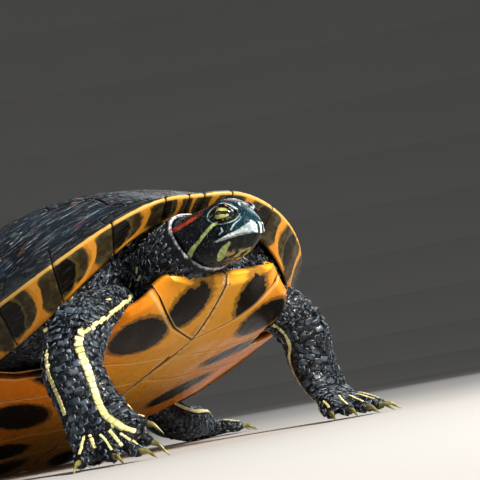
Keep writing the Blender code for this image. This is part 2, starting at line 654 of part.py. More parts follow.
def jaw_wedge(name, raised, parent):
    """Everything below the mouth line and in front of the jaw's hinge."""
    outline = [(MOUTH_FRONT[0], MOUTH_FRONT[1] + raised), (MOUTH_CORNER[0] + raised, MOUTH_CORNER[1] + raised),
               (JAW_HINGE_BACK + raised, JAW_DEPTH), (MOUTH_FRONT[0], JAW_DEPTH)]
    points = [(x, back, high) for x in (JAW_DEPTH, -JAW_DEPTH) for back, high in outline]
    faces = [(0, 1, 2, 3), (4, 5, 6, 7)] + [(i, (i + 1) % 4, 4 + (i + 1) % 4, 4 + i) for i in range(4)]
    return add_mesh(name, points, faces, parent)


def ball(name, centre, radius, parent, finish=None):
    mesh = bpy.data.meshes.new(name)
    bm = bmesh.new()
    bmesh.ops.create_uvsphere(bm, u_segments=12, v_segments=8, radius=radius * MM)
    bmesh.ops.translate(bm, vec=Vector(centre) * MM, verts=bm.verts)
    bm.to_mesh(mesh)
    bm.free()
    made = bpy.data.objects.new(name, mesh)
    made.parent = parent
    if finish:
        mesh.materials.append(material(finish))
        PARTS.objects.link(made)
    else:
        made.hide_render = True
        made.display_type = "WIRE"
        CUTTERS.objects.link(made)
    return made


def head(parent):
    """Skull with the upper jaw, the lower jaw, and the eyes in their sockets."""
    skull = loft("head", head_rings(), parent, "skin")
    jaw = loft("lower_jaw", head_rings(), parent, "skin")
    boolean(skull, jaw_wedge("jaw_room", GAP, parent))
    boolean(jaw, jaw_wedge("jaw_outline", 0.0, parent), "INTERSECT")
    for side, sign in (("left", 1), ("right", -1)):
        centre = (sign * EYE_CENTRE[0], EYE_CENTRE[1], EYE_CENTRE[2])
        ball(f"eye_{side}", centre, EYE_RADIUS, parent, "eye")
        boolean(skull, ball(f"orbit_{side}", centre, EYE_RADIUS + GAP, parent))


def neck(parent, head_frame):
    """The drawn-in neck, which ends in a loose collar round the back of the head; gives its socket."""
    bpy.context.view_layer.update()
    place = head_frame.matrix_basis
    middle = place @ (Vector(COLLAR) * MM) / MM
    turn = place.to_3x3()
    ahead = turn @ Vector((0.0, -math.cos(COLLAR_TILT), math.sin(COLLAR_TILT)))
    behind = middle - ahead * COLLAR_LENGTH
    path = NECK_ROOT + [(*behind, COLLAR_SIZE[0], COLLAR_SIZE[1] - 0.6), (*middle, *COLLAR_SIZE)]
    fine = smooth_path(path, 2)
    made = loft("neck", tube_rings(fine, UP, NECK_SIDES), parent, "skin")
    boolean(made, loft("head_room", head_rings(GAP), head_frame))
    return loft("neck_socket", tube_rings(fine, UP, NECK_SIDES, grow=GAP), parent)


# ---------------------------------------------------------------- the whole animal
def build():
    root = empty("turtle")
    shell_frame = empty("shell_frame", root, (0.0, PIVOT_Y, 0.0), (-PITCH, 0.0, 0.0))
    level = empty("shell_level", shell_frame, (0.0, -PIVOT_Y, 0.0))
    head_frame = empty("head_frame", root, SNOUT, HEAD_TURN)
    ground = sole_cutter(root)

    loft("nuchal", [margin_ring(a) for a in (-NUCHAL_END + 0.1, 0.0, NUCHAL_END - 0.1)], level, "margin_shell")
    marginals("marginals_left", 1, level)
    marginals("marginals_right", -1, level)
    for k in range(5):
        scute(f"vertebral_{k + 1}", vertebral_patch(k), dome, SCUTE_THICK, level, "back_shell", BACK_CELLS)
    for side, sign in (("left", 1), ("right", -1)):
        for k in range(4):
            scute(f"costal_{side}_{k + 1}", mirrored(costal_patch(k), sign), dome, SCUTE_THICK, level,
                  "back_shell", BACK_CELLS)

    belly_room = {}
    for side, sign in (("left", 1), ("right", -1)):
        for plate, patch in plastron_patches().items():
            place, cells = mirrored(patch, sign), BELLY_CELLS[plate]
            scute(f"{plate}_{side}", place, belly, -PLASTRON_THICK, level, "belly_shell", cells)
            if plate in ("humeral", "abdominal", "femoral"):
                belly_room[plate, side] = scute(f"{plate}_room_{side}", place, belly, -PLASTRON_THICK, level,
                                                None, cells, -GAP, GAP)

    body = trunk(level)
    head(head_frame)
    boolean(body, neck(root, head_frame))

    for side, path, digits, back in (("right", FORELEG_RIGHT, FOREDIGITS_RIGHT, RIGHT_HAND_BACK),
                                     ("left", FORELEG_LEFT, FOREDIGITS_LEFT, LEFT_HAND_BACK)):
        upper, socket = foreleg(side, path, digits, back, root, ground)
        boolean(body, socket)
        boolean(upper, belly_room["humeral", side])

    for side, sign in (("left", 1), ("right", -1)):
        thigh, socket = hind_leg(side, sign, root, ground)
        boolean(body, socket)
        boolean(thigh, belly_room["abdominal", side])
        boolean(thigh, belly_room["femoral", side])

    fine = smooth_path(TAIL, 2)
    tail = loft("tail", tube_rings(fine, UP, TAIL_SIDES), root, "skin")
    boolean(tail, ground)
    boolean(body, loft("tail_socket", tube_rings(fine, UP, TAIL_SIDES, grow=GAP), root))
    return root


def centre_on_ground(root):
    """Moves the whole animal so that the middle of its outline's box is the origin, at ground level."""
    bpy.context.view_layer.update()
    graph = bpy.context.evaluated_depsgraph_get()
    corners = [piece.matrix_world @ v.co for piece in PARTS.objects if piece.type == "MESH"
               for v in piece.evaluated_get(graph).data.vertices]
    root.location = [-(min(c[i] for c in corners) + max(c[i] for c in corners)) / 2 for i in (0, 1)] + [0.0]


for old in list(bpy.data.objects):
    bpy.data.objects.remove(old)
PARTS = new_collection("red_eared_slider")
CUTTERS = new_collection("cutters")
centre_on_ground(build())
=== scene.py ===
import math
from itertools import product

import bmesh
import bpy
import numpy as np
from mathutils import Matrix, Vector, noise
from mathutils.bvhtree import BVHTree


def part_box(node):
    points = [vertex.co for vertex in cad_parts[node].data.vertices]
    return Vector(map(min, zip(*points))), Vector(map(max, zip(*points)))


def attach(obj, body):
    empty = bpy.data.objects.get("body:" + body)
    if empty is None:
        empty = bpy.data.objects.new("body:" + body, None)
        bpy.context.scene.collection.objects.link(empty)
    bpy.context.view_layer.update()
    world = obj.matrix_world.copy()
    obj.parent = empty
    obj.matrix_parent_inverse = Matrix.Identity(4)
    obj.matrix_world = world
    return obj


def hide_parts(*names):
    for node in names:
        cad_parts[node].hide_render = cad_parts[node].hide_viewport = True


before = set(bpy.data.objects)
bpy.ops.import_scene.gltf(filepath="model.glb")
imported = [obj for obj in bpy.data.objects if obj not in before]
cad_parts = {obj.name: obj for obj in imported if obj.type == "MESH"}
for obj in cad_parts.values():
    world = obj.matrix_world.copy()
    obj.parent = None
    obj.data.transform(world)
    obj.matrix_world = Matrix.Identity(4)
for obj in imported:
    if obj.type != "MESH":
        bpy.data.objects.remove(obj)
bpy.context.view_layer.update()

# The looks of the red-eared slider. Sizes are in millimetres until a mesh is made, and the shell, the limbs
# and the head are worked out from the same named sizes as the solids, so that each piece covers its solid.
MM = 0.001

# ---------------------------------------------------------------- sizes shared with the solids
HALF_WIDTH, WIDEST_Y, FRONT_REACH, REAR_REACH, RIM_POWER = 83.5, 12.0, 117.0, 102.0, 2.2
NUCHAL_NOTCH, NOTCH_DEGREES = 3.5, 7.0
APEX_HEIGHT, KEEL_HEIGHT, KEEL_HALF_WIDTH = 87.0, 1.4, 9.0
SCUTE_THICK, SCUTE_GRID, SEAM_HALF = 2.6, 34, 0.12
CORNER_DEGREES = 1.0
NUCHAL_END = 1.7
MARGIN_SEAMS = [NUCHAL_END, 8.8, 23.7, 40.0] + [40.0 + 140.0 * k / 9 for k in range(1, 10)]
UNDER_WIDTH = 11.0
REAR_NOTCH = 1.7
VERTEBRAL_SEAMS = [-86.0, -58.0, -21.0, 19.0, 58.0]
SEAM_HALF_WIDTHS = [20.0, 16.0, 17.0, 17.0, 14.0]
SIDE_CORNERS = [(22.0, 0.4), (26.0, 0.5), (27.0, 0.5), (25.0, 0.5)]
COSTAL_ENDS = [14.0, 63.3, 94.4, 125.6, 163.0]
PLASTRON_THICK, PLASTRON_GRID = 3.4, 44
FRONT_LIFT, FRONT_LIFT_FROM = 10.5, -64.0
BRIDGE_HEIGHT, BRIDGE_REACH, FLAT_HALF_WIDTH = 10.0, 55.0, 15.0
REAR_FLAT_Y = 91.0
GULAR_TIP_Y, GULAR_SEAM_Y, HUMERAL_SEAM_Y = -104.0, -68.2, -52.0
PECTORAL_SEAM_Y, ABDOMINAL_SEAM_Y, FEMORAL_SEAM_Y, ANAL_TIP_Y = -25.0, 27.0, 57.0, 92.0
GULAR_CORNER, LOBE_SHOULDER = (23.5, -102.0), (27.5, -97.5)
LIP_RISE, LIP_AT, LIP_WIDTH = 3.2, 23.0, 9.0
BRIDGE_START, BRIDGE_MIDDLE, BRIDGE_END = 68.0, 86.7, 106.0
PITCH = math.radians(14.4)
SNOUT = (1.5, -118.0, 75.5)
HEAD_TURN = (math.radians(4.0), math.radians(1.0), math.radians(17.0))
HEAD_ROWS = [
    (0.4, 2.4, -0.2, -4.4), (2.0, 4.4, 2.4, -6.4), (5.0, 6.6, 5.4, -8.4), (9.0, 9.4, 9.0, -10.6),
    (13.5, 10.9, 10.2, -12.4), (19.0, 12.0, 8.7, -13.4), (25.0, 12.9, 7.2, -13.8),
    (31.0, 13.0, 6.2, -13.4), (36.0, 12.2, 5.6, -12.6),
]
WIDE_FLATNESS, HIGH_FLATNESS = 0.92, 0.86
EYE_CENTRE, EYE_RADIUS = (5.7, 10.6, 3.4), 4.3
LIMB_POWER = 2.2
COLLAR, COLLAR_SIZE, COLLAR_TILT, COLLAR_LENGTH = (0.0, 29.0, -3.8), (15.2, 12.9), math.radians(28.0), 15.0
COLLAR_SIDES = 40

# Limb paths: x, y, z, half width, half height, from inside the shell to the palm
FORELEG_RIGHT = [
    (-26.5, -47.0, 48.5, 8.4, 7.0), (-30.5, -62.0, 56.5, 7.8, 6.2), (-43.0, -74.5, 56.5, 8.2, 6.2),
    (-57.5, -83.0, 49.5, 9.8, 8.2), (-66.5, -87.0, 36.0, 10.2, 8.8), (-66.3, -91.5, 25.5, 10.2, 6.8),
    (-66.0, -95.5, 19.0, 10.8, 5.2), (-66.3, -100.0, 13.5, 12.0, 4.4), (-66.5, -104.0, 9.4, 11.8, 3.2),
    (-66.8, -109.0, 5.2, 11.2, 1.1),
]
FORELEG_LEFT = [
    (24.0, -36.0, 49.5, 9.0, 8.0), (38.0, -48.0, 51.0, 9.6, 8.6), (49.0, -56.0, 47.0, 9.8, 9.4),
    (57.0, -57.5, 36.5, 9.2, 9.6), (59.5, -56.5, 26.5, 9.6, 8.8), (60.5, -58.5, 18.0, 10.0, 6.6),
    (61.2, -62.0, 12.0, 10.6, 5.0), (61.2, -67.0, 8.0, 11.6, 4.2), (61.4, -71.5, 5.8, 11.8, 3.2),
    (61.8, -77.5, 3.4, 11.4, 1.1),
]
HIND_LEG = [
    (41.0, 60.0, 33.0, 9.0, 8.5), (49.0, 58.0, 24.0, 9.5, 9.0), (56.0, 56.0, 14.5, 9.5, 9.0),
    (65.0, 56.0, 9.4, 9.2, 7.6), (73.5, 60.0, 8.6, 9.0, 7.0), (79.5, 66.5, 7.6, 8.6, 6.0),
]
HIND_SOLE = [
    (73.0, 71.5, 5.4, 6.0, 4.6), (79.0, 70.0, 5.8, 9.0, 5.4), (86.0, 68.5, 5.0, 11.6, 4.4),
    (92.0, 67.0, 4.0, 12.8, 3.0), (98.0, 66.0, 2.6, 13.6, 1.0),
]
TAIL = [
    (0.0, 84.0, 17.0, 9.0, 8.0), (1.0, 97.0, 12.5, 7.0, 6.5), (3.5, 109.0, 6.6, 5.0, 4.8),
    (7.5, 121.0, 3.6, 3.4, 3.2), (13.0, 132.0, 1.7, 1.6, 1.5),
]
NECK_ROOT = [(-2.0, -41.0, 56.0, 13.5, 12.0), (-5.0, -58.0, 60.5, 14.6, 12.8)]
# Digits, thumb side first: knuckle, claw base, claw tip
FOREDIGITS_RIGHT = [
    ((-57.5, -99.5, 15.0), (-53.0, -105.5, 12.5), (-49.5, -109.5, 8.5)),
    ((-60.0, -102.5, 11.0), (-55.5, -110.5, 6.2), (-52.0, -115.0, 1.0)),
    ((-64.5, -105.0, 8.5), (-61.5, -112.5, 3.4), (-59.0, -118.5, 0.0)),
    ((-69.5, -104.0, 8.0), (-71.0, -112.0, 3.2), (-71.5, -118.5, 0.0)),
    ((-74.0, -101.0, 8.5), (-80.5, -107.0, 3.2), (-85.0, -110.5, 0.0)),
]
FOREDIGITS_LEFT = [
    ((53.0, -69.0, 6.4), (49.0, -76.0, 3.2), (46.5, -81.5, 0.0)),
    ((57.0, -72.0, 6.0), (55.0, -80.0, 3.2), (53.5, -86.5, 0.0)),
    ((61.5, -73.0, 6.0), (62.0, -81.5, 3.2), (62.5, -88.0, 0.0)),
    ((66.0, -72.0, 6.0), (69.0, -80.0, 3.2), (71.5, -86.0, 0.0)),
    ((70.0, -69.0, 6.4), (75.5, -75.0, 3.2), (80.0, -79.5, 0.0)),
]
HIND_DIGITS = [
    ((88.5, 57.5, 4.4), (94.0, 52.5, 3.0), (98.5, 48.5, 0.0)),
    ((92.0, 61.5, 4.4), (98.5, 58.0, 3.0), (104.0, 55.5, 0.0)),
    ((93.5, 66.5, 4.4), (101.0, 65.5, 3.0), (107.0, 65.0, 0.0)),
    ((93.5, 72.0, 4.4), (101.0, 73.5, 3.0), (106.5, 75.0, 0.0)),
    ((90.5, 77.0, 4.4), (96.5, 81.0, 2.6), (100.0, 83.5, 0.0)),
]
UP = (0.0, 0.0, 1.0)
SIDES = (("left", 1), ("right", -1))
RIGHT_HAND_BACK = (-0.50, -0.75, 0.35)
LEFT_HAND_BACK = (0.20, -0.75, 0.60)
DIGIT_RADIUS = 3.1


# ---------------------------------------------------------------- small tools
def blend(a, b, t):
    return a + (b - a) * t


def smooth(t):
    t = np.clip(t, 0.0, 1.0)
    return t * t * (3.0 - 2.0 * t)


def signed_power(value, power):
    return math.copysign(abs(value) ** power, value)


def line(*points):
    """A broken line through plan points, each stretch taking an equal share of 0..1."""
    points = [Vector(p[:2]) for p in points]

    def at(t):
        t = min(1.0, max(0.0, t)) * (len(points) - 1)
        k = min(int(t), len(points) - 2)
        return points[k].lerp(points[k + 1], t - k)

    return at


def coons(front, rear, inner, outer):
    """A plan patch between four edges: front and rear run over u, inner (u 0) and outer (u 1) over v."""
    c00, c10, c01, c11 = front(0.0), front(1.0), rear(0.0), rear(1.0)

    def at(u, v):
        ruled = front(u) * (1 - v) + rear(u) * v + inner(v) * (1 - u) + outer(v) * u
        return ruled - (c00 * (1 - u) + c10 * u) * (1 - v) - (c01 * (1 - u) + c11 * u) * v

    return at


def mirrored(patch, side):
    return lambda u, v: Vector((side * patch(u, v).x, patch(u, v).y))


def flipped(rows):
    """The same rows on the other side: the first number of each with its sign turned."""
    return [(-row[0], *row[1:]) for row in rows]


def turns(count, first=0.0):
    """Angles evenly spaced once round."""
    return [2 * math.pi * (k + first) / count for k in range(count)]


def away(points, route):
    """Distance of every point from a broken line, in the points' own units."""
    points, route = np.asarray(points, float), np.asarray(route, float)
    nearest = np.full(len(points), 1e9)
    for a, b in zip(route[:-1], route[1:]):
        span = b - a
        share = np.clip(((points - a) @ span) / max(span @ span, 1e-12), 0.0, 1.0)
        nearest = np.minimum(nearest, np.linalg.norm(points - a - share[:, None] * span, axis=1))
    return nearest


# ---------------------------------------------------------------- where things stand
HEAD_PLACE = Matrix.Translation(SNOUT)
for axis, turn in zip("ZYX", reversed(HEAD_TURN)):
    HEAD_PLACE = HEAD_PLACE @ Matrix.Rotation(turn, 4, axis)
eye_low, eye_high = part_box("eye_left")
SHIFT = (eye_low + eye_high) / 2 / MM - HEAD_PLACE @ Vector(EYE_CENTRE)
SHELL_PLACE = (Matrix.Translation(SHIFT) @ Matrix.Translation((0.0, REAR_FLAT_Y, 0.0))
               @ Matrix.Rotation(-PITCH, 4, "X") @ Matrix.Translation((0.0, -REAR_FLAT_Y, 0.0)))
BODY_PLACE = Matrix.Translation(SHIFT)
HEAD_PLACE = BODY_PLACE @ HEAD_PLACE


# ---------------------------------------------------------------- the shell's form
def rim(degrees):
    s, c = math.sin(math.radians(degrees)), math.cos(math.radians(degrees))
    reach = FRONT_REACH if c >= 0 else REAR_REACH
    notch = NUCHAL_NOTCH * math.exp(-((degrees / NOTCH_DEGREES) ** 2))
    return Vector((HALF_WIDTH * signed_power(s, 2 / RIM_POWER),
                   WIDEST_Y - reach * signed_power(c, 2 / RIM_POWER) + notch))


def rim_height(degrees):
    d = abs(degrees)
    return 23.0 + 22.6 * math.exp(-((d / 43.0) ** 2)) + 3.0 * max(0.0, (d - 125.0) / 55.0) ** 2


def margin_width(degrees):
    return 16.0 + 5.0 * math.sin(math.radians(degrees)) ** 2


def margin_rise(degrees):
    return 7.0 + 13.0 * math.sin(math.radians(degrees)) ** 2 + 5.0 * smooth((abs(degrees) - 120.0) / 60.0)


def under_drop(degrees):
    d = abs(degrees)
    return 5.0 + 8.5 * smooth(d / 55.0) - 6.5 * smooth((d - 112.0) / 40.0)


def inward(degrees, distance):
    edge = rim(degrees)
    return edge + (Vector((0.0, WIDEST_Y)) - edge).normalized() * distance


def back_seam(degrees):
    return inward(degrees, margin_width(degrees))


def bearing(x, y):
    ahead = WIDEST_Y - y
    reach = FRONT_REACH if ahead >= 0 else REAR_REACH
    s = (abs(x) / HALF_WIDTH) ** (RIM_POWER / 2)
    c = signed_power(ahead / reach, RIM_POWER / 2)
    return math.copysign(math.degrees(math.atan2(s, c)), x)


def dome(x, y):
    angle = bearing(x, y)
    middle = Vector((0.0, WIDEST_Y))
    share = (Vector((x, y)) - middle).length / (back_seam(angle) - middle).length
    side = math.sin(math.radians(angle)) ** 2
    power = blend(blend(1.75, 2.15, smooth((abs(angle) - 90.0) / 90.0)), 2.5, side)
    foot = rim_height(angle) + margin_rise(angle)
    keel = KEEL_HEIGHT * math.exp(-((x / KEEL_HALF_WIDTH) ** 2)) * max(0.0, 1.0 - share)
    return APEX_HEIGHT - (APEX_HEIGHT - foot) * share ** power + keel


def surface_normal(height, x, y, step=0.5):
    slope_x = (height(x + step, y) - height(x - step, y)) / (2 * step)
    slope_y = (height(x, y + step) - height(x, y - step)) / (2 * step)
    return Vector((-slope_x, -slope_y, 1.0)).normalized()


def seam_end(k, side=1):
    return side * SEAM_HALF_WIDTHS[k], VERTEBRAL_SEAMS[k]


def side_corner(k, side=1):
    half_width, share = SIDE_CORNERS[k]
    return side * half_width, blend(VERTEBRAL_SEAMS[k], VERTEBRAL_SEAMS[k + 1], share)


def vertebral_patch(k):
    front = line(seam_end(k, -1), seam_end(k))
    if k == 0:
        front = lambda u: back_seam(blend(-COSTAL_ENDS[0], COSTAL_ENDS[0], u))
    if k == 4:
        rear = lambda u: back_seam(blend(-COSTAL_ENDS[4], -360.0 + COSTAL_ENDS[4], u))
        return coons(front, rear, line(front(0.0), rear(0.0)), line(front(1.0), rear(1.0)))
    rear = line(seam_end(k + 1, -1), seam_end(k + 1))
    sides = [line(front(end), side_corner(k, side), rear(end)) for end, side in ((0.0, -1), (1.0, 1))]
    return coons(front, rear, *sides)


def costal_patch(k):
    start = COSTAL_ENDS[k] + (CORNER_DEGREES if k == 0 else 0.0)
    end = COSTAL_ENDS[k + 1] - (CORNER_DEGREES if k == 3 else 0.0)
    outer = lambda v: back_seam(blend(start, end, v))
    if k == 0:
        inner = line(back_seam(start - CORNER_DEGREES * 0.6), side_corner(0), seam_end(1), side_corner(1))
    elif k == 3:
        inner = line(side_corner(3), seam_end(4), back_seam(end + CORNER_DEGREES * 0.6))
    else:
        inner = line(side_corner(k), seam_end(k + 1), side_corner(k + 1))
    return coons(line(inner(0.0), outer(0.0)), line(inner(1.0), outer(1.0)), inner, outer)


def belly(x, y):
    lift = FRONT_LIFT * (max(0.0, FRONT_LIFT_FROM - y) / (FRONT_LIFT_FROM - GULAR_TIP_Y)) ** 1.6
    side = BRIDGE_HEIGHT * (max(0.0, abs(x) - FLAT_HALF_WIDTH) / BRIDGE_REACH) ** 1.5
    corner = LIP_RISE * math.exp(-(((abs(x) - LIP_AT) / LIP_WIDTH) ** 2)) * float(smooth((-86.0 - y) / 15.0))
    return lift + corner + side + max(0.0, y - REAR_FLAT_Y) * math.tan(PITCH)


def under_edge(degrees):
    return inward(degrees, UNDER_WIDTH + 0.15)


def plastron_patches():
    """Left half, front to rear; u runs from the midline out, v from the front to the rear."""
    start, middle, end = (under_edge(angle) for angle in (BRIDGE_START, BRIDGE_MIDDLE, BRIDGE_END))
    humeral_end, abdominal_end = (46.0, -50.0), (47.0, 48.5)
    femoral_end, anal_end = (40.0, 77.0), (20.0, 95.0)
    midline = [(0.0, y) for y in (GULAR_TIP_Y, GULAR_SEAM_Y, HUMERAL_SEAM_Y, PECTORAL_SEAM_Y,
                                  ABDOMINAL_SEAM_Y, FEMORAL_SEAM_Y, ANAL_TIP_Y)]
    outer = {
        "gular": [GULAR_CORNER, LOBE_SHOULDER],
        "humeral": [LOBE_SHOULDER, (37.0, -87.5), (43.0, -76.0), (45.6, -62.0), humeral_end],
        "pectoral": [start, under_edge(77.0), middle],
        "abdominal": [middle, under_edge(96.0), end, (54.0, 44.5), abdominal_end],
        "femoral": [abdominal_end, (45.5, 63.0), femoral_end], "anal": [femoral_end, (33.0, 88.0), anal_end],
    }
    seams = [line(first, *route) for first, route in zip(midline, (
        [(12.0, -103.6), GULAR_CORNER], [(14.0, -80.0), LOBE_SHOULDER], [humeral_end],
        [(35.0, -19.0), middle], [(24.0, 30.0), abdominal_end], [(20.0, 62.0), femoral_end],
        [(10.0, 95.5), anal_end]))]
    fronts = list(seams)
    fronts[2] = line(midline[2], humeral_end, (48.5, -37.5), (57.0, -31.5), start)
    return {scute: coons(fronts[k], seams[k + 1], line(midline[k], midline[k + 1]), line(*route))
            for k, (scute, route) in enumerate(outer.items())}


# ---------------------------------------------------------------- making and finishing pieces
def deselect():
    bpy.ops.object.select_all(action="DESELECT")


def take(*pieces):
    """Selects these pieces only, the first of them active."""
    deselect()
    for piece in pieces:
        piece.select_set(True)
    bpy.context.view_layer.objects.active = pieces[0]


def join(*pieces):
    take(*pieces)
    bpy.ops.object.join()
    return pieces[0]


def apply_modifier(piece, kind, **settings):
    take(piece)
    made = piece.modifiers.new(kind.lower(), kind)
    for name, value in settings.items():
        setattr(made, name, value)
    bpy.ops.object.modifier_apply(modifier=made.name)


def turn_outwards(piece, merged=0.0):
    """Turns every face of a closed mesh outwards, once points nearer than merged are made one."""
    bm = bmesh.new()
    bm.from_mesh(piece.data)
    if merged:
        bmesh.ops.remove_doubles(bm, verts=bm.verts, dist=merged)
    bmesh.ops.recalc_face_normals(bm, faces=bm.faces)
    if bm.calc_volume(signed=True) < 0:
        bmesh.ops.reverse_faces(bm, faces=bm.faces)
    bm.to_mesh(piece.data)
    bm.free()
    return piece


def add_object(name, data):
    made = bpy.data.objects.new(name, data)
    bpy.context.scene.collection.objects.link(made)
    return made


def add_mesh(name, points, faces):
    mesh = bpy.data.meshes.new(name)
    mesh.from_pydata(points, [], faces)
    mesh.update()
    return add_object(name, mesh)


def mesh_piece(name, points, faces, place=None):
    """A smooth-shaded piece from points in millimetres, moved to where it stands."""
    place = place or BODY_PLACE
    piece = add_mesh(name, [place @ Vector(p) * MM for p in points], faces)
    piece.data.shade_smooth()
    return piece


def write_fields(piece, **fields):
    """Keeps numbers for each point of the mesh, for the material to read."""
    for name, values in fields.items():
        field = piece.data.attributes.new(name, "FLOAT", "POINT")
        field.data.foreach_set("value", np.asarray(values, np.float32))


def finish(piece, look, slot, *nodes):
    """Gives a finished piece its material and its place in the frame."""
    piece.data.materials.clear()
    piece.data.materials.append(look)
    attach(piece, "root")
    if nodes:
        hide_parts(*nodes)
    return piece


def ring_quads(rings, count):
    """The faces between neighbouring rings of a tube."""
    pairs = [(i, (i + 1) % count) for i in range(count)]
    return [(r * count + i, r * count + j, (r + 1) * count + j, (r + 1) * count + i)
            for r in range(rings - 1) for i, j in pairs]


def loft_faces(rings, count):
    """The faces of a tube of rings, each end closed by one face."""
    return ring_quads(rings, count) + [tuple(range(count)), tuple(range((rings - 1) * count, rings * count))]


def loft(name, rings, place=None, merged=0.00002):
    """A closed tube through rings; its points keep their order where none are merged."""
    points = [p for ring in rings for p in ring]
    return turn_outwards(mesh_piece(name, points, loft_faces(len(rings), len(rings[0])), place), merged)


def smooth_path(stations, steps):
    """Rounds off a list of stations with a Catmull-Rom curve."""
    rows = [np.array(s, float) for s in stations]
    ends = [rows[0] * 2 - rows[1]] + rows + [rows[-1] * 2 - rows[-2]]
    path = []
    for a, b, c, d in zip(ends, ends[1:], ends[2:], ends[3:]):
        for k in range(steps):
            t = k / steps
            path.append(0.5 * (2 * b + (c - a) * t + (2 * a - 5 * b + 4 * c - d) * t ** 2
                               + (3 * b - a - 3 * c + d) * t ** 3))
    return path + [rows[-1]]


def oval(wide, high, angle):
    """A point of a limb's rounded cross section."""
    return (wide * signed_power(math.cos(angle), 2 / LIMB_POWER),
            high * signed_power(math.sin(angle), 2 / LIMB_POWER))


def path_reach(spots):
    """How far along their path each of the spots lies."""
    return np.concatenate([[0.0], np.cumsum([(b - a).length for a, b in zip(spots, spots[1:])])])


class Tube:
    """The surface of a limb: a rounded path with half widths and half heights."""

    def __init__(self, stations, steps=6, back=UP):
        path = smooth_path(stations, steps)
        spots = [Vector(p[:3]) for p in path]
        self.rows = []
        for k, row in enumerate(path):
            ahead = (spots[min(k + 1, len(spots) - 1)] - spots[max(k - 1, 0)]).normalized()
            up = Vector(UP).lerp(Vector(back), float(smooth(1.6 * k / len(path))))
            across = ahead.cross(up).normalized()
            self.rows.append((spots[k], across, across.cross(ahead), row[3], row[4]))
        self.reach = path_reach(spots)

    def at(self, distance, angle, lift=0.0):
        """The point that far along the limb and that way round it, lifted off its surface."""
        place = np.interp(distance, self.reach, range(len(self.reach)))
        k = min(int(place), len(self.rows) - 2)
        t = place - k
        middle, across, rise, wide, high = (blend(a, b, t) for a, b in zip(self.rows[k], self.rows[k + 1]))
        x, z = oval(wide + lift, high + lift, angle)
        return middle + across * x + rise * z

    def girth(self, distance):
        wide = np.interp(distance, self.reach, [r[3] for r in self.rows])
        high = np.interp(distance, self.reach, [r[4] for r in self.rows])
        return math.pi * (wide + high)

    def rings(self, sides=28):
        return [[self.at(distance, angle) for angle in turns(sides)] for distance in self.reach]


# ---------------------------------------------------------------- shell plates
def plate(name, patch, height, thickness, count, fields, edge=(1.3, 0.55), free=()):
    """One plate of the shell over a plan patch, with rounded edges and the fields that its pattern needs.

    edge is how wide and how deep its edges are rounded; free names those ("front", "rear", "outer") that
    stand clear and are rounded more.
    """
    deselect()
    bpy.ops.mesh.primitive_grid_add(x_subdivisions=count, y_subdivisions=count, size=2.0)
    piece = bpy.context.object
    piece.name = piece.data.name = name
    across = (patch(1.0, 0.5) - patch(0.0, 0.5)).length
    along = (patch(0.5, 1.0) - patch(0.5, 0.0)).length
    crowd = lambda t: blend(t, float(smooth(t)), 0.55)
    spots, edges = [], []
    sign = 1.0 if thickness > 0 else -1.0
    for vertex in piece.data.vertices:
        u, v = (blend(SEAM_HALF / size, 1 - SEAM_HALF / size, crowd((at + 1) / 2))
                for at, size in ((vertex.co.x, across), (vertex.co.y, along)))
        spot = patch(u, v)
        sides = {"front": v * along, "rear": (1 - v) * along, "inner": u * across, "outer": (1 - u) * across}
        down = 0.0
        for side, distance in sides.items():
            width, depth = FREE_EDGE if side in free else edge
            down = max(down, depth * (1.0 - float(smooth(distance / width))) ** 1.5)
        normal = surface_normal(height, spot.x, spot.y)
        point = Vector((spot.x, spot.y, height(spot.x, spot.y))) - normal * down * sign
        vertex.co = SHELL_PLACE @ point * MM
        spots.append((spot.x, spot.y))
        edges.append(min(distance for side, distance in sides.items() if side not in free))
    if piece.data.polygons[len(piece.data.polygons) // 2].normal.z * sign < 0:
        piece.data.flip_normals()
    piece.data.shade_smooth()
    write_fields(piece, edge=edges, **fields(*np.array(spots).T))
    apply_modifier(piece, "SOLIDIFY", thickness=abs(thickness) * MM, offset=-1.0)
    return piece


def back_plates(look):
    parts = [("vertebral", "", k, vertebral_patch(k)) for k in range(5)]
    parts += [("costal", f"{side}_", k, mirrored(costal_patch(k), sign))
              for side, sign in SIDES for k in range(4)]
    for kind, side, k, patch in parts:
        if kind == "costal":
            fields = lambda x, y: {"outwards": 100.0 * np.hypot(x / 85.0, (y - WIDEST_Y) / 115.0)}
        else:
            fields = lambda x, y: {"outwards": x}
        piece = plate(f"{kind}_scute_{side}{k + 1}", patch, dome, SCUTE_THICK, SCUTE_GRID, fields)
        finish(piece, look, "back_shell", f"{kind}_{side}{k + 1}")


# Dark blotch of each belly scute: middle, half length, half width, lean of its long way from the midline
BLOTCHES = {
    "gular": ((12.4, -90.0), 12.0, 6.2, 16.0), "humeral": ((26.6, -74.0), 12.6, 10.2, 9.0),
    "pectoral": ((39.0, -36.5), 13.0, 9.0, -70.0), "abdominal": ((38.0, 8.0), 15.0, 11.0, -30.0),
    "femoral": ((27.0, 53.0), 11.0, 9.0, 30.0), "anal": ((16.0, 78.0), 11.0, 7.5, 25.0),
}
BLOTCH_SHIFTS = {("gular", "left"): 4.2, ("humeral", "left"): 4.0}
FREE_EDGE = (3.2, 1.9)          # how wide and how deep a free edge is rounded
FREE_EDGES = {"gular": ("front", "outer"), "humeral": ("outer",), "femoral": ("outer",),
              "anal": ("outer", "rear")}


def belly_fields(scute, side):
    (middle, y_middle), long, wide, lean = BLOTCHES[scute]
    middle += BLOTCH_SHIFTS.get((scute, side), 0.0)
    c, s = math.cos(math.radians(lean)), math.sin(math.radians(lean))

    def fields(x, y):
        dx, dy = np.abs(x) - middle, y - y_middle
        far = np.hypot((dx * c - dy * s) / wide, (dx * s + dy * c) / long)
        return {"blotch": (far - 1.0) * wide, "outward": np.abs(x) / 50.0, "middle": np.abs(x)}

    return fields


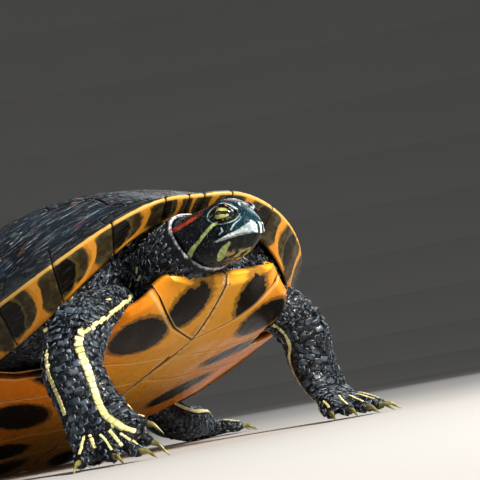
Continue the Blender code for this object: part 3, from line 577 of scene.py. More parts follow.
def belly_plates(look):
    for side, sign in SIDES:
        for scute, patch in plastron_patches().items():
            piece = plate(f"{scute}_scute_{side}", mirrored(patch, sign), belly, -PLASTRON_THICK,
                          PLASTRON_GRID, belly_fields(scute, side), (0.9, 0.5), FREE_EDGES.get(scute, ()))
            finish(piece, look, "belly_shell", f"{scute}_{side}")


def margin_outline(degrees, sunk=0.0, notch=0.0):
    """Cross section of a marginal, from its upper edge over the rim to its lower edge, then closed."""
    width, rise, drop = margin_width(degrees), margin_rise(degrees), under_drop(degrees)
    seen = smooth_path([
        (width - 0.15, rise - sunk), (width * 0.62, rise * 0.53 - sunk),
        (width * 0.28, rise * 0.20 + 0.4 - sunk), (1.3 + sunk + notch, 1.5 - sunk),
        (0.2 + sunk + notch, -0.4), (5.2 + sunk, -0.45 * drop - 0.6 + sunk),
        (UNDER_WIDTH - 0.1, -drop + sunk),
    ], 6)
    return [tuple(p) for p in seen] + [(UNDER_WIDTH, -drop + PLASTRON_THICK), (width - 0.3, rise - 2.6)]


def margin_ring(degrees, sunk, notch):
    return [Vector((*inward(degrees, distance), rim_height(degrees) + above))
            for distance, above in margin_outline(degrees, sunk, notch)]


# Markings of a marginal, in shares of its length and of its depth under the rim: the bar's line, and for
# the blotch and the two patches their middle and their half sizes
MARGIN_BAR = [(0.40, 0.0), (0.33, 0.32), (0.36, 0.6), (0.55, 0.86), (0.96, 0.99)]
MARGIN_BLOTCH, MARGIN_PATCHES = (0.88, 0.43, 0.21, 0.42), ((0.62, 0.45, 0.18, 0.45), (0.13, 0.51, 0.24, 0.49))
END_SUNK, END_ROUND, END_GAP = 0.45, 0.9, 0.07         # how its ends sink, over how far, and half the gap


def marginal_scute(name, start, end, side, look, notches=(0.0, 0.0)):
    """One marginal, with rounded ends, and the numbers that its pattern needs."""
    length = (rim(end) - rim(start)).length
    count = max(14, int(length * 1.1))
    outline = np.array(margin_outline((start + end) / 2))
    steps = np.concatenate([[0.0], np.cumsum(np.linalg.norm(np.diff(outline, axis=0), axis=1))])
    rim_at = int(np.argmin(outline[:, 0]))
    under = steps[-3] - steps[rim_at]           # the last two points are hidden in the shell
    rings, fields = [], []
    for k in range(count + 1):
        share = blend(k / count, float(smooth(k / count)), 0.5)
        near = min(share, 1 - share) * length
        sunk = END_SUNK * (1.0 - float(smooth(near / END_ROUND))) + 0.02
        notch = (notches[0] * (1 - float(smooth(share * 3.0)))
                 + notches[1] * (1 - float(smooth((1 - share) * 3.0))))
        gap = END_GAP / length
        degrees = blend(start, end, blend(gap, 1 - gap, share))
        rings.append(margin_ring(side * degrees, sunk, notch))
        for i in range(len(outline)):
            fields.append((share, (steps[i] - steps[rim_at]) / under, near))
    piece = loft(name, rings, SHELL_PLACE, 0.0)
    share, depth, near = np.array(fields).T
    flat = np.column_stack([share * length, depth * under])
    fit = np.array([length, under])
    bar = away(flat, np.array(MARGIN_BAR) * fit)
    bar = bar - blend(1.6, 0.9, np.clip(depth * 1.6, 0, 1)) * min(1.0, length / 13.0)
    ellipse = lambda s, t, a, b: (np.hypot((share - s) / a, (depth - t) / b) - 1.0) * b * under
    patch = np.minimum(*(ellipse(*one) for one in MARGIN_PATCHES))
    write_fields(piece, bar=bar, blotch=ellipse(*MARGIN_BLOTCH), patch=patch, depth=depth * under, edge=near)
    return finish(piece, look, "margin_shell")


def margin_plates(look):
    nuchal = marginal_scute("nuchal_scute", -NUCHAL_END, NUCHAL_END, 1, look)
    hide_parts("nuchal")
    for side, sign in SIDES:
        for k, (start, end) in enumerate(zip(MARGIN_SEAMS, MARGIN_SEAMS[1:])):
            notches = [REAR_NOTCH * float(smooth((d - 118.0) / 45.0)) for d in (start, end)]
            piece = marginal_scute(f"marginal_scute_{side}_{k + 1}", start, end, sign, look, notches)
            if k == 0:
                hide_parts(f"marginals_{side}")


# ---------------------------------------------------------------- claws and eyes
# Along a claw: which two of its points a station lies between, how far, its half width and its half height
CLAW = [
    ("start", "start", 0.0, 1.05, 1.15), ("base", "middle", 0.6, 0.86, 1.02),
    ("middle", "middle", 0.0, 0.64, 0.80), ("middle", "tip", 0.6, 0.38, 0.46),
    ("tip", "tip", 0.0, 0.08, 0.08),
]
CLAW_SIDES, CLAW_LONGER, CLAW_ARCH, TIP_CLEAR = 12, 1.6, 1.3, 0.12


def claws(name, digits, look):
    """Five curved, pointed claws as one piece."""
    points, faces, fields = [], [], []
    for knuckle, base, tip in digits:
        knuckle, base, tip = Vector(knuckle), Vector(base), Vector(tip)
        tip = tip + (tip - base).normalized() * CLAW_LONGER
        tip.z = max(tip.z, TIP_CLEAR)
        at = {"start": base.lerp(knuckle, 0.10), "base": base, "tip": tip,
              "middle": base.lerp(tip, 0.5) + Vector(UP) * CLAW_ARCH}
        stations = [(*at[a].lerp(at[b], share), *sizes) for a, b, share, *sizes in CLAW]
        rings = Tube(stations, 3).rings(CLAW_SIDES)
        first = len(points)
        points += [p for ring in rings for p in ring]
        faces += [tuple(first + i for i in face) for face in loft_faces(len(rings), CLAW_SIDES)]
        fields += [k / (len(rings) - 1) for k in range(len(rings)) for _ in range(CLAW_SIDES)]
    piece = turn_outwards(mesh_piece(name, points, faces))
    write_fields(piece, tipward=fields)
    return finish(piece, look, "skin")


EYE_LOOK = Vector((0.95, -0.04, 0.28)).normalized()      # the way the left eye faces, in the head's frame


def eye_frame(sign):
    ahead = Vector((EYE_LOOK.x * sign, EYE_LOOK.y, EYE_LOOK.z))
    level = ahead.cross(Vector(UP)).normalized()
    return Vector((EYE_CENTRE[0] * sign, EYE_CENTRE[1], EYE_CENTRE[2])), ahead, level, level.cross(ahead)


def eyeball(side, sign, look):
    centre, ahead, level, rise = eye_frame(sign)
    deselect()
    bpy.ops.mesh.primitive_uv_sphere_add(segments=56, ring_count=36, radius=EYE_RADIUS)
    piece = bpy.context.object
    piece.name = piece.data.name = f"eyeball_{side}"
    out, high = [], []
    for vertex in piece.data.vertices:
        x, y, z = vertex.co
        bulge = 1.0 + 0.05 * math.exp(-((math.hypot(x, y) / 2.2) ** 2)) * (z > 0)
        point = centre + level * x + rise * y + ahead * z * bulge
        vertex.co = HEAD_PLACE @ point * MM
        out.append(math.hypot(x, y) if z > 0 else EYE_RADIUS)
        high.append(y)
    write_fields(piece, out=out, high=high)
    piece.data.shade_smooth()
    return finish(piece, look, "eye", f"eye_{side}")


# ---------------------------------------------------------------- materials
class Look:
    """A procedural material, put together from small steps in object coordinates."""

    def __init__(self, name, **settings):
        self.material = bpy.data.materials.new(name)
        self.material.use_nodes = True
        self.tree = self.material.node_tree
        self.shader = next(n for n in self.tree.nodes if n.type == "BSDF_PRINCIPLED")
        for socket, value in settings.items():
            self.shader.inputs[socket.replace("_", " ")].default_value = value
        self.place = self.tree.nodes.new("ShaderNodeTexCoord").outputs["Object"]
        self.colour = self.normal = None

    def feed(self, socket, source):
        if isinstance(source, bpy.types.NodeSocket):
            self.tree.links.new(source, socket)
        elif isinstance(source, tuple) and len(source) == 3 and socket.type == "RGBA":
            socket.default_value = (*source, 1.0)
        else:
            socket.default_value = source

    def node(self, kind, sockets, **settings):
        made = self.tree.nodes.new("ShaderNode" + kind)
        for name, value in settings.items():
            setattr(made, name, value)
        for socket, source in sockets.items():
            self.feed(made.inputs[socket], source)
        return made

    def field(self, name):
        return self.node("Attribute", {}, attribute_name=name).outputs["Fac"]

    def math(self, operation, a, b=0.0, clamp=False):
        return self.node("Math", {0: a, 1: b}, operation=operation, use_clamp=clamp).outputs[0]

    def step(self, value, low, high, first=0.0, last=1.0):
        """A smooth step of the value from first, at low, to last, at high."""
        return self.node("MapRange", {"Value": value, "From Min": low, "From Max": high, "To Min": first,
                                      "To Max": last}, interpolation_type="SMOOTHSTEP").outputs[0]

    def mix(self, share, a, b):
        return self.node("Mix", {0: share, 6: a, 7: b}, data_type="RGBA").outputs[2]

    def times(self, a, b, clamp=False):
        return self.math("MULTIPLY", a, b, clamp)

    def plus(self, a, b):
        return self.math("ADD", a, b)

    def less(self, a, b):
        return self.math("SUBTRACT", a, b)

    def shades(self, value, low, high, first, last):
        """One shade up to where the value is low, another from where it is high."""
        return self.mix(self.step(value, low, high), first, last)

    def paint(self, shade, share, *step):
        """Lays a shade over the colour so far, by a share or by a smooth step of it."""
        self.colour = self.mix(self.step(share, *step) if step else share, self.colour, shade)

    def stretched(self, *scale, turn=(0.0, 0.0, 0.0)):
        return self.node("Mapping", {"Vector": self.place, "Scale": scale, "Rotation": turn}).outputs[0]

    def noise(self, scale, detail=3.0, place=None, rough=0.55):
        return self.node("TexNoise", {"Vector": place or self.place, "Scale": scale, "Detail": detail,
                                      "Roughness": rough}).outputs["Fac"]

    def swing(self, noise, amount):
        """A noise as a shift either way, its whole range that wide."""
        return self.times(self.less(noise, 0.5), amount)

    def frayed(self, name, shift, share=1.0):
        """A field with a share of a shift added, so that what it bounds is ragged."""
        return self.plus(self.field(name), self.times(shift, share))

    def streaks(self, across):
        """Scratches and finer glints that run where the field named by across stays the same."""
        shift = self.node("CombineXYZ", {0: self.times(self.field(across), 5.0)}).outputs[0]
        lines = self.node("VectorMath", {0: self.stretched(450.0, 450.0, 450.0), 1: shift}).outputs[0]
        return self.noise(0.16, 6.0, lines, 0.72), self.noise(0.42, 3.0, lines, 0.6)

    def cells(self, scale, gap):
        """Little cushions with a furrow of that width between them."""
        apart = self.node("TexVoronoi", {"Vector": self.place, "Scale": scale}, feature="DISTANCE_TO_EDGE")
        return self.step(apart.outputs["Distance"], 0.0, gap)

    def bump(self, height, strength, distance):
        """Roughens the surface further."""
        sockets = {"Height": height, "Strength": strength, "Distance": distance}
        if self.normal:
            sockets["Normal"] = self.normal
        self.normal = self.node("Bump", sockets).outputs["Normal"]

    def done(self, roughness=None):
        sources = {"Base Color": self.colour, "Normal": self.normal, "Roughness": roughness}
        for socket, source in sources.items():
            if source:
                self.feed(self.shader.inputs[socket], source)
        return self.material


def back_look():
    """Blue-black with pale scratches and painted glints, brown with wear in places, and rings inside each
    scute's edge.
    """
    look = Look("back scutes", Roughness=0.4, Specular_IOR_Level=0.32)
    broad, fine, edge = look.noise(38.0, 4.0), look.noise(420.0, 5.0), look.field("edge")
    scratches, glints = look.streaks("outwards")
    look.colour = look.shades(broad, 0.35, 0.68, (0.0040, 0.0062, 0.0100), (0.016, 0.026, 0.036))
    look.paint((0.011, 0.038, 0.076), look.noise(26.0, 3.0), 0.46, 0.64, 0.0, 0.85)
    look.paint((0.15, 0.19, 0.22), scratches, 0.55, 0.63, 0.0, 0.66)
    # Painted glints along the same lines as the scratches.
    look.paint((0.50, 0.55, 0.57), glints, 0.60, 0.64, 0.0, 0.9)
    look.paint((0.004, 0.004, 0.005), look.frayed("edge", look.noise(300.0), 1.2), 0.6, 1.5, 0.85, 0.0)
    warm = look.shades(broad, 0.45, 0.55, (0.30, 0.10, 0.03), (0.11, 0.05, 0.075))
    look.paint(warm, look.noise(150.0, 4.0), 0.60, 0.68, 0.0, 0.75)
    look.bump(look.math("SINE", look.times(look.plus(edge, look.times(broad, 9.0)), 2.4)), 0.16, 0.0006)
    look.bump(fine, 0.35, 0.0004)
    look.bump(scratches, 0.35, 0.0006)
    return look.done(look.step(fine, 0.3, 0.7, 0.26, 0.5))


def margin_look():
    """Black above the rim, yellow below it with a bar, olive-brown patches and a black blotch each."""
    look = Look("marginal scutes", Roughness=0.35, Specular_IOR_Level=0.25)
    broad, fine = look.noise(60.0, 4.0), look.noise(500.0, 5.0)
    ragged = look.swing(look.noise(420.0, 4.0, rough=0.65), 4.0)
    bar, patch, blotch, height = (look.frayed(name, ragged, share) for name, share in (
        ("bar", 0.3), ("patch", 1.0), ("blotch", 1.0), ("depth", 0.22)))
    look.colour = look.shades(broad, 0.35, 0.68, (0.004, 0.006, 0.009), (0.018, 0.024, 0.028))
    look.paint((0.30, 0.25, 0.07), bar, -0.6, 0.5, 0.55, 0.0)
    above = look.colour
    look.colour = look.shades(broad, 0.3, 0.7, (0.60, 0.25, 0.022), (0.44, 0.17, 0.015))
    look.paint((0.13, 0.085, 0.020), patch, -0.1, 0.8, 0.92, 0.0)
    mottle = look.shades(look.noise(260.0, 4.0), 0.45, 0.65, (0.026, 0.019, 0.008), (0.070, 0.056, 0.022))
    look.paint(mottle, patch, -0.9, -0.1, 0.93, 0.0)
    look.paint((0.11, 0.078, 0.020), blotch, 0.5, 1.6, 0.92, 0.0)
    look.paint((0.0050, 0.0040, 0.0035), blotch, -0.35, 0.25, 0.98, 0.0)
    look.paint((0.66, 0.29, 0.028), bar, -0.35, 0.35, 0.95, 0.0)
    look.paint((0.66, 0.40, 0.10), look.frayed("depth", ragged, 0.15), 0.6, 1.2, 0.9, 0.0)
    look.colour = look.mix(look.step(height, -1.0, -0.15), above, look.colour)
    # Pale scratches and painted glints, full above the rim and faint below it.
    scratches, glints = look.streaks("depth")
    pale_mark_and_glint_share = look.math("MAXIMUM", look.step(scratches, 0.55, 0.63, 0.0, 0.5),
                     look.step(glints, 0.60, 0.64, 0.0, 0.9))
    look.paint((0.30, 0.34, 0.36), look.times(pale_mark_and_glint_share, look.step(height, -1.2, -0.6, 1.0, 0.12)))
    look.paint((0.03, 0.015, 0.008), look.frayed("edge", ragged, 0.1), 0.15, 0.55, 0.8, 0.0)
    look.bump(fine, 0.25, 0.0003)
    return look.done(look.step(fine, 0.3, 0.7, 0.22, 0.42))


def belly_look():
    """Amber plates, more orange outwards, with a ragged black blotch in a brown halo."""
    look = Look("belly scutes", Roughness=0.3, Specular_IOR_Level=0.16)
    broad, fine = look.noise(45.0, 4.0), look.noise(520.0, 5.0)
    ragged = look.swing(look.noise(420.0, 5.0, rough=0.72), 5.0)
    stains = look.noise(90.0, 5.0, look.stretched(2.2, 0.6, 1.0), 0.65)
    outward = look.frayed("outward", look.swing(broad, 0.5))
    look.colour = look.shades(outward, 0.15, 0.95, (0.74, 0.345, 0.030), (0.87, 0.255, 0.012))
    look.paint((0.36, 0.16, 0.03), stains, 0.54, 0.74, 0.0, 0.45)
    look.paint((0.74, 0.52, 0.20), stains, 0.26, 0.40, 0.45, 0.0)
    rubbed = look.shades(look.noise(520.0, 3.0), 0.50, 0.58, (0.22, 0.050, 0.016), (0.70, 0.62, 0.46))
    look.paint(rubbed, look.times(look.step(look.frayed("middle", ragged, 1.1), 0.8, 2.2, 0.8, 0.0),
                                  look.step(look.noise(240.0, 4.0), 0.46, 0.56)))
    blotch, edge = look.frayed("blotch", ragged), look.frayed("edge", ragged, 0.06)
    look.paint((0.15, 0.085, 0.020), blotch, 1.2, 2.2, 0.75, 0.0)
    look.paint((0.0050, 0.0038, 0.0034), blotch, -0.2, 0.6, 0.985, 0.0)
    look.paint((0.78, 0.60, 0.30), look.times(look.step(edge, 0.5, 0.9), look.step(edge, 1.1, 1.7, 0.5, 0.0)))
    look.paint((0.16, 0.05, 0.015), edge, 0.2, 0.55, 0.85, 0.0)
    look.bump(fine, 0.18, 0.0003)
    look.bump(look.noise(160.0, 6.0, look.stretched(4.5, 0.5, 1.0, turn=(0.0, 0.0, 0.5)), 0.7), 0.18, 0.0003)
    return look.done(look.step(stains, 0.3, 0.7, 0.2, 0.42))


def skin_look():
    """Blue-black skin with yellow stripes, the red stripe, pale lines and horn-coloured jaws."""
    look = Look("skin", Roughness=0.35, Specular_IOR_Level=0.26)
    broad, fine = look.noise(70.0, 4.0), look.noise(600.0, 4.0)
    head, snout = look.field("head"), look.field("snout")
    off_head = look.less(1.0, head)
    streaks = look.noise(330.0, 4.0, look.stretched(0.55, 1.0, 1.3, turn=(0.5, -0.6, 0.3)), 0.6)
    look.colour = look.shades(broad, 0.35, 0.7, (0.0020, 0.0026, 0.0040), (0.009, 0.012, 0.016))
    # Painted highlights: pale streaks on the ridges of the wrinkles that the same noise raises.
    look.paint((0.070, 0.085, 0.095), streaks, 0.58, 0.72, 0.0, 0.55)
    body = look.colour
    look.colour = look.shades(broad, 0.35, 0.68, (0.0012, 0.0024, 0.0046), (0.0050, 0.0095, 0.0130))
    # A painted teal sheen on the snout, in patches.
    look.paint((0.005, 0.036, 0.050), look.times(snout, look.step(broad, 0.3, 0.6)))
    # Painted glints: small pale flecks over the head.
    look.paint((0.20, 0.26, 0.30), look.noise(1250.0, 2.0), 0.635, 0.70, 0.0, 0.6)
    look.colour = look.mix(head, body, look.colour)
    jaw = look.shades(look.noise(260.0, 4.0, look.stretched(1.0, 0.4, 1.0)), 0.44, 0.66,
                      (0.008, 0.007, 0.005), (0.07, 0.062, 0.038))
    chin = look.shades(look.noise(420.0, 3.0), 0.46, 0.54, (0.012, 0.009, 0.005), (0.45, 0.30, 0.10))
    lid = look.shades(look.noise(620.0, 3.0), 0.54, 0.64, (0.003, 0.004, 0.003), (0.075, 0.080, 0.035))
    lid = look.mix(look.step(look.noise(380.0, 2.0), 0.62, 0.68, 0.0, 0.85), lid, (0.46, 0.20, 0.06))
    for name, shade, share in (("jaw", jaw, 0.88), ("chin", chin, 0.9), ("lid", lid, 0.95)):
        look.paint(shade, look.times(look.field(name), share))
    ragged = look.swing(look.noise(700.0, 3.0), 0.45)
    narrowed = look.plus(ragged, look.times(off_head, 0.5))
    grain = look.shades(fine, 0.4, 0.62, (0.50, 0.56, 0.22), (0.30, 0.36, 0.12))
    scarlet = look.shades(fine, 0.4, 0.58, (0.44, 0.060, 0.030), (0.15, 0.018, 0.014))
    cream = look.shades(fine, 0.38, 0.56, (0.66, 0.63, 0.58), (0.27, 0.34, 0.37))
    for name, shade, share, shift in (
            ("stripe", grain, 0.95, narrowed), ("pale", (0.42, 0.55, 0.58), 0.8, ragged),
            ("red", scarlet, 0.97, ragged), ("white", cream, 0.95, ragged)):
        look.paint(shade, look.plus(look.field(name), shift), -0.18, 0.18, share, 0.0)
    look.paint((0.60, 0.59, 0.64), look.times(look.field("lip"), look.step(fine, 0.34, 0.54, 0.35, 1.0)))
    look.bump(look.times(look.cells(900.0, 0.12), off_head), 0.35, 0.0004)
    look.bump(look.times(streaks, off_head), 0.6, 0.0012)
    look.bump(look.times(look.cells(430.0, 0.16), look.times(head, look.less(1.0, snout))), 0.30, 0.0004)
    look.bump(look.times(look.noise(330.0, 5.0), head), 0.35, 0.0006)
    look.bump(fine, 0.2, 0.0003)
    return look.done(look.step(fine, 0.3, 0.7, 0.15, 0.36))


def scale_look():
    """Each scale is dark with a pale edge that is a painted glint, paler near the elbow by a painted
    reflection, or yellow where a stripe runs.
    """
    look = Look("scales", Roughness=0.30, Specular_IOR_Level=0.45)
    reach, patchy = look.field("rim"), look.noise(500.0, 4.0)
    # Each plain scale's tone: random, and paler near the elbow, where a painted reflection lies.
    tint = look.times(look.field("tint"), look.step(patchy, 0.36, 0.66, 0.0, 1.15), clamp=True)
    look.colour = look.mix(tint, (0.0022, 0.0030, 0.0050), (0.075, 0.100, 0.130))
    # Painted glints: the rim of each plain scale made lighter, in patches.
    pale_mark_and_glint_share = look.step(patchy, 0.42, 0.62, 0.0, 0.7)
    look.paint((0.26, 0.31, 0.34), look.times(look.step(reach, 0.86, 0.98), pale_mark_and_glint_share))
    yellow = look.shades(patchy, 0.35, 0.65, (0.56, 0.50, 0.20), (0.70, 0.65, 0.38))
    yellow = look.mix(look.step(reach, 0.90, 1.0, 0.0, 0.6), yellow, (0.22, 0.21, 0.08))
    look.paint(yellow, look.field("yellow"))
    look.bump(patchy, 0.3, 0.0003)
    return look.done(look.step(patchy, 0.3, 0.7, 0.22, 0.42))


def claw_look():
    look = Look("claws", Roughness=0.25, Specular_IOR_Level=0.5)
    streaks = look.noise(300.0, 4.0)
    look.colour = look.shades(streaks, 0.35, 0.65, (0.10, 0.085, 0.03), (0.30, 0.26, 0.08))
    look.paint((0.05, 0.04, 0.02), look.field("tipward"), 0.0, 0.35, 0.8, 0.0)
    look.bump(streaks, 0.15, 0.0002)
    return look.done()


def eye_look():
    """Round pupil in a yellow-green iris that a dark bar crosses, under a wet clear coat."""
    look = Look("eye", Roughness=0.12, Specular_IOR_Level=0.6, Coat_Weight=1.0, Coat_Roughness=0.02)
    out, grain = look.field("out"), look.swing(look.noise(900.0, 4.0), 0.7)
    look.colour = look.shades(look.plus(out, grain), 1.0, 3.3, (0.58, 0.58, 0.19), (0.22, 0.27, 0.07))
    bar = look.plus(look.math("ABSOLUTE", look.field("high")), look.times(grain, 0.4))
    look.paint((0.005, 0.005, 0.004), bar, 0.52, 0.76, 0.97, 0.0)
    look.paint((0.012, 0.014, 0.008), out, 3.1, 3.7)
    look.paint((0.002, 0.002, 0.002), out, 0.82, 0.98, 1.0, 0.0)
    return look.done()


# ---------------------------------------------------------------- skin
def both_sides(stations):
    """A limb of the left side and its mirror image."""
    return {"left": Tube(stations), "right": Tube(flipped(stations))}


FORELEGS = {"right": Tube(FORELEG_RIGHT, back=RIGHT_HAND_BACK),
            "left": Tube(FORELEG_LEFT, back=LEFT_HAND_BACK)}
HIND_LEGS, SOLES, TAIL_TUBE = both_sides(HIND_LEG), both_sides(HIND_SOLE), Tube(TAIL)
DIGITS = {
    "fore_right": (FOREDIGITS_RIGHT, FORELEG_RIGHT), "fore_left": (FOREDIGITS_LEFT, FORELEG_LEFT),
    "hind_left": (HIND_DIGITS, HIND_SOLE),
    "hind_right": ([flipped(digit) for digit in HIND_DIGITS], flipped(HIND_SOLE)),
}
WEB_REACH = {"fore": 0.55, "hind": 0.85}         # how far along the digits their webs run
VOXEL, KEPT_SHARE = 0.0008, 0.40                # size of the skin's cells in metres, share of its faces kept
COLLAR_STEPS = ((0.7, 0.35), (0.9, 0.9), (0.4, 1.4), (-1.5, 1.9), (-5.5, 4.0))    # forward, and inwards
BEAD_IN, BEAD_AHEAD, BEAD_POINTS, BEAD_SIDES = 0.8, 0.65, 97, 8


def collar_axis():
    place = BODY_PLACE.inverted() @ HEAD_PLACE
    middle = place @ Vector(COLLAR)
    ahead = place.to_3x3() @ Vector((0.0, -math.cos(COLLAR_TILT), math.sin(COLLAR_TILT)))
    return middle, ahead


def neck_tube(*before):
    """The neck up to its collar, from the stations before it."""
    middle, ahead = collar_axis()
    behind = middle - ahead * COLLAR_LENGTH
    return Tube([*before, (*behind, 15.2, 12.4), (*middle, *COLLAR_SIZE)], 5)


def collar_ring(tube, forward, narrower, angles):
    """Points round the end of the neck, moved ahead and inwards."""
    spot, across, rise, wide, high = tube.rows[-1]
    spot = spot + collar_axis()[1] * forward
    sizes = [oval(wide - narrower, high - narrower, angle) for angle in angles]
    return [spot + across * x + rise * z for x, z in sizes]


def neck_rings():
    """The neck, its collar lip turned in round the head."""
    tube = neck_tube(*NECK_ROOT)
    return tube.rings(COLLAR_SIDES) + [collar_ring(tube, *step, turns(COLLAR_SIDES)) for step in COLLAR_STEPS]


def lip_line():
    """The edge of the collar, once round."""
    angles = np.linspace(-math.pi / 2, 1.5 * math.pi, BEAD_POINTS)
    return collar_ring(neck_tube(), BEAD_AHEAD, BEAD_IN, angles)


def lip_rings():
    """A fine, slightly uneven bead along the edge of the collar."""
    points, ahead = lip_line(), collar_axis()[1]
    middle = sum(points, Vector()) / len(points)
    rings = []
    for point in points:
        out = (point - middle).normalized()
        thick = 0.38 + 0.16 * noise.noise(point * 0.45)
        rings.append([point + (out * math.cos(a) + ahead * math.sin(a)) * thick for a in turns(BEAD_SIDES)])
    return rings


def digit_tubes(digits, stations):
    palm = Vector(smooth_path(stations, 2)[-3][:3])
    for knuckle, base, tip in digits:
        knuckle, base, tip = Vector(knuckle), Vector(base), Vector(tip)
        stations = [(*palm.lerp(knuckle, 0.44), DIGIT_RADIUS, 2.5), (*knuckle, DIGIT_RADIUS, 2.95),
                    (*knuckle.lerp(base, 0.6), 2.6, 2.5), (*base, 2.3, 2.1),
                    (*base.lerp(tip, 0.22), 1.6, 1.5)]
        yield Tube(stations, 3)


def webs(digits, reach):
    """Thin skin between neighbouring digits, out to a share of their length."""
    for pair in zip(digits, digits[1:]):
        ends = [Vector(knuckle) for knuckle, _, _ in pair]
        tips = [Vector(knuckle).lerp(Vector(base), reach) for knuckle, base, _ in pair]
        stations = []
        for share, high in ((-0.3, 1.25), (0.4, 1.25), (0.8, 1.25), (1.0, 0.9)):
            a, b = (end.lerp(tip, share) for end, tip in zip(ends, tips))
            stations.append((*((a + b) / 2 - Vector((0.0, 0.0, 0.9))), (a - b).length / 2, high))
        yield Tube(stations, 3)


def flesh():
    """Trunk, neck, limbs and tail grown together into one closed surface."""
    limbs = [legs[side] for legs in (FORELEGS, HIND_LEGS, SOLES) for side in ("right", "left")]
    parts = [loft("skin", tube.rings()) for tube in [*limbs, TAIL_TUBE]] + [loft("neck_part", neck_rings())]
    for place, (digits, stations) in DIGITS.items():
        parts += [loft("digit_part", tube.rings(14)) for tube in digit_tubes(digits, stations)]
        parts += [loft("web_part", web.rings(16)) for web in webs(digits, WEB_REACH[place[:4]])]
    body = join(*parts, hull_part("front_part", None, -20.0), hull_part("rear_part", 52.0, None))
    apply_modifier(body, "REMESH", mode="VOXEL", voxel_size=VOXEL, use_smooth_shade=True)
    apply_modifier(body, "SMOOTH", factor=0.5, iterations=5)
    wrinkle(body)
    apply_modifier(body, "DECIMATE", ratio=KEPT_SHARE)
    return join(body, hull_part("middle_part", -22.0, 54.0), loft("bead", lip_rings()))


# For the skin in the shell's openings: how far in from the rim it lies at most and at least, and how far down
DRAWN_IN = {"upper": (25.0, 12.4, 0.06), "middle": (26.0, 17.5, 0.5), "lower": (26.0, 23.0, 0.85),
            "foot": (26.5, 26.5, 1.0)}
INNER_REACH = UNDER_WIDTH + 4.8


def hull_row(kind, degrees):
    """A point of the body inside the shell: its top, or the bare skin that closes the shell's openings."""
    d = abs(degrees)
    inner_edge = rim_height(degrees) - under_drop(degrees)
    if kind in ("crown", "top"):
        share = 0.55 if kind == "crown" else 1.0
        spot = Vector((0.0, WIDEST_Y)).lerp(inward(degrees, margin_width(degrees) + 1.3), share)
        return Vector((*spot, dome(*spot) - (SCUTE_THICK + 1.2) / surface_normal(dome, *spot).z))
    if kind == "tucked":
        return Vector((*inward(degrees, INNER_REACH), inner_edge + 4.0))
    full = float(smooth((d - 16.0) / 18.0)) * (1.0 - 0.5 * float(smooth((d - 150.0) / 20.0)))
    bridged = float(smooth((d - BRIDGE_START + 6.0) / 10.0) * (1.0 - smooth((d - BRIDGE_END + 4.0) / 10.0)))
    most, least, down = DRAWN_IN[kind]
    spot = inward(degrees, min(blend(most, least, full), blend(26.5, INNER_REACH, bridged)))
    return Vector((*spot, blend(inner_edge + 0.5, belly(*spot) + PLASTRON_THICK + 1.0, down)))


def hull_part(name, low, high):
    """The body inside the shell, cut off square where low or high says how far back."""
    spokes = [(5.0 * k if k <= 36 else 5.0 * k - 360.0) for k in range(72)]
    rings = [[hull_row(kind, angle) for angle in spokes] for kind in ("crown", "top", "tucked", *DRAWN_IN)]
    core = loft(name, rings, SHELL_PLACE)
    bm = bmesh.new()
    bm.from_mesh(core.data)
    for edge, way in ((low, -1.0), (high, 1.0)):
        if edge is not None:
            cut = bmesh.ops.bisect_plane(bm, geom=[*bm.verts, *bm.edges, *bm.faces], clear_outer=True,
                                         plane_co=(0.0, (edge + SHIFT.y) * MM, 0.0), plane_no=(0.0, way, 0.0))
            edges = [g for g in cut["geom_cut"] if isinstance(g, bmesh.types.BMEdge)]
            bmesh.ops.contextual_create(bm, geom=edges)
    bm.to_mesh(core.data)
    bm.free()
    return core


def wrinkle(body):
    """Folds the skin of neck, shoulders and limbs along the normals."""
    points = mesh_rows(body)
    rows = to_frame(BODY_PLACE, points)
    lean = Matrix.Rotation(math.radians(38.0), 3, "X") @ Matrix.Rotation(math.radians(-30.0), 3, "Z")
    stretch, shift = Vector((0.11, 0.40, 0.40)), Vector((7.0, 1.0, 3.0))
    fine = np.array([noise.noise(Vector(p * 0.42)) for p in rows])
    folds = np.array([abs(noise.noise((lean @ Vector(p)) * stretch + shift)) for p in rows])
    legs = smooth((rows[:, 2] - 30.0) / 12.0)
    middle, ahead = (np.array(v) for v in collar_axis())
    off = rows - middle
    calm = np.maximum(smooth((-(off @ ahead) - 1.0) / 4.0),
                      smooth((np.linalg.norm(off, axis=1) - 18.0) / 4.0))
    push = (blend(0.15, 0.85, legs) * (0.35 - folds) * 2.0 + 0.12 * fine) * calm
    body.data.vertices.foreach_set("co", (points + mesh_rows(body, "normal") * push[:, None] * MM).ravel())
    body.data.update()


def to_frame(place, points):
    """World points in metres, as rows in millimetres of the given place."""
    back = np.array(place.inverted())
    return (points / MM) @ back[:3, :3].T + back[:3, 3]


def mesh_rows(piece, kind="co"):
    """Where each point of a mesh is, or its normal, as rows."""
    flat = np.empty(len(piece.data.vertices) * 3)
    piece.data.vertices.foreach_get(kind, flat)
    return flat.reshape(-1, 3)


# ---------------------------------------------------------------- head
HEAD_AROUND, HEAD_ALONG = 240, 170
LIDS = (3.9, 2.15, 1.95)        # half length of the eye's opening, and its height above and below the middle
EYE_RING = (5.5, 3.8)          # half length and half height of the pale ring round the lids
MOUTH = [(0.2, -4.6), (1.3, -3.8), (2.7, -3.9), (5.9, -4.25), (9.0, -5.1), (13.2, -5.7), (15.0, -6.6)]


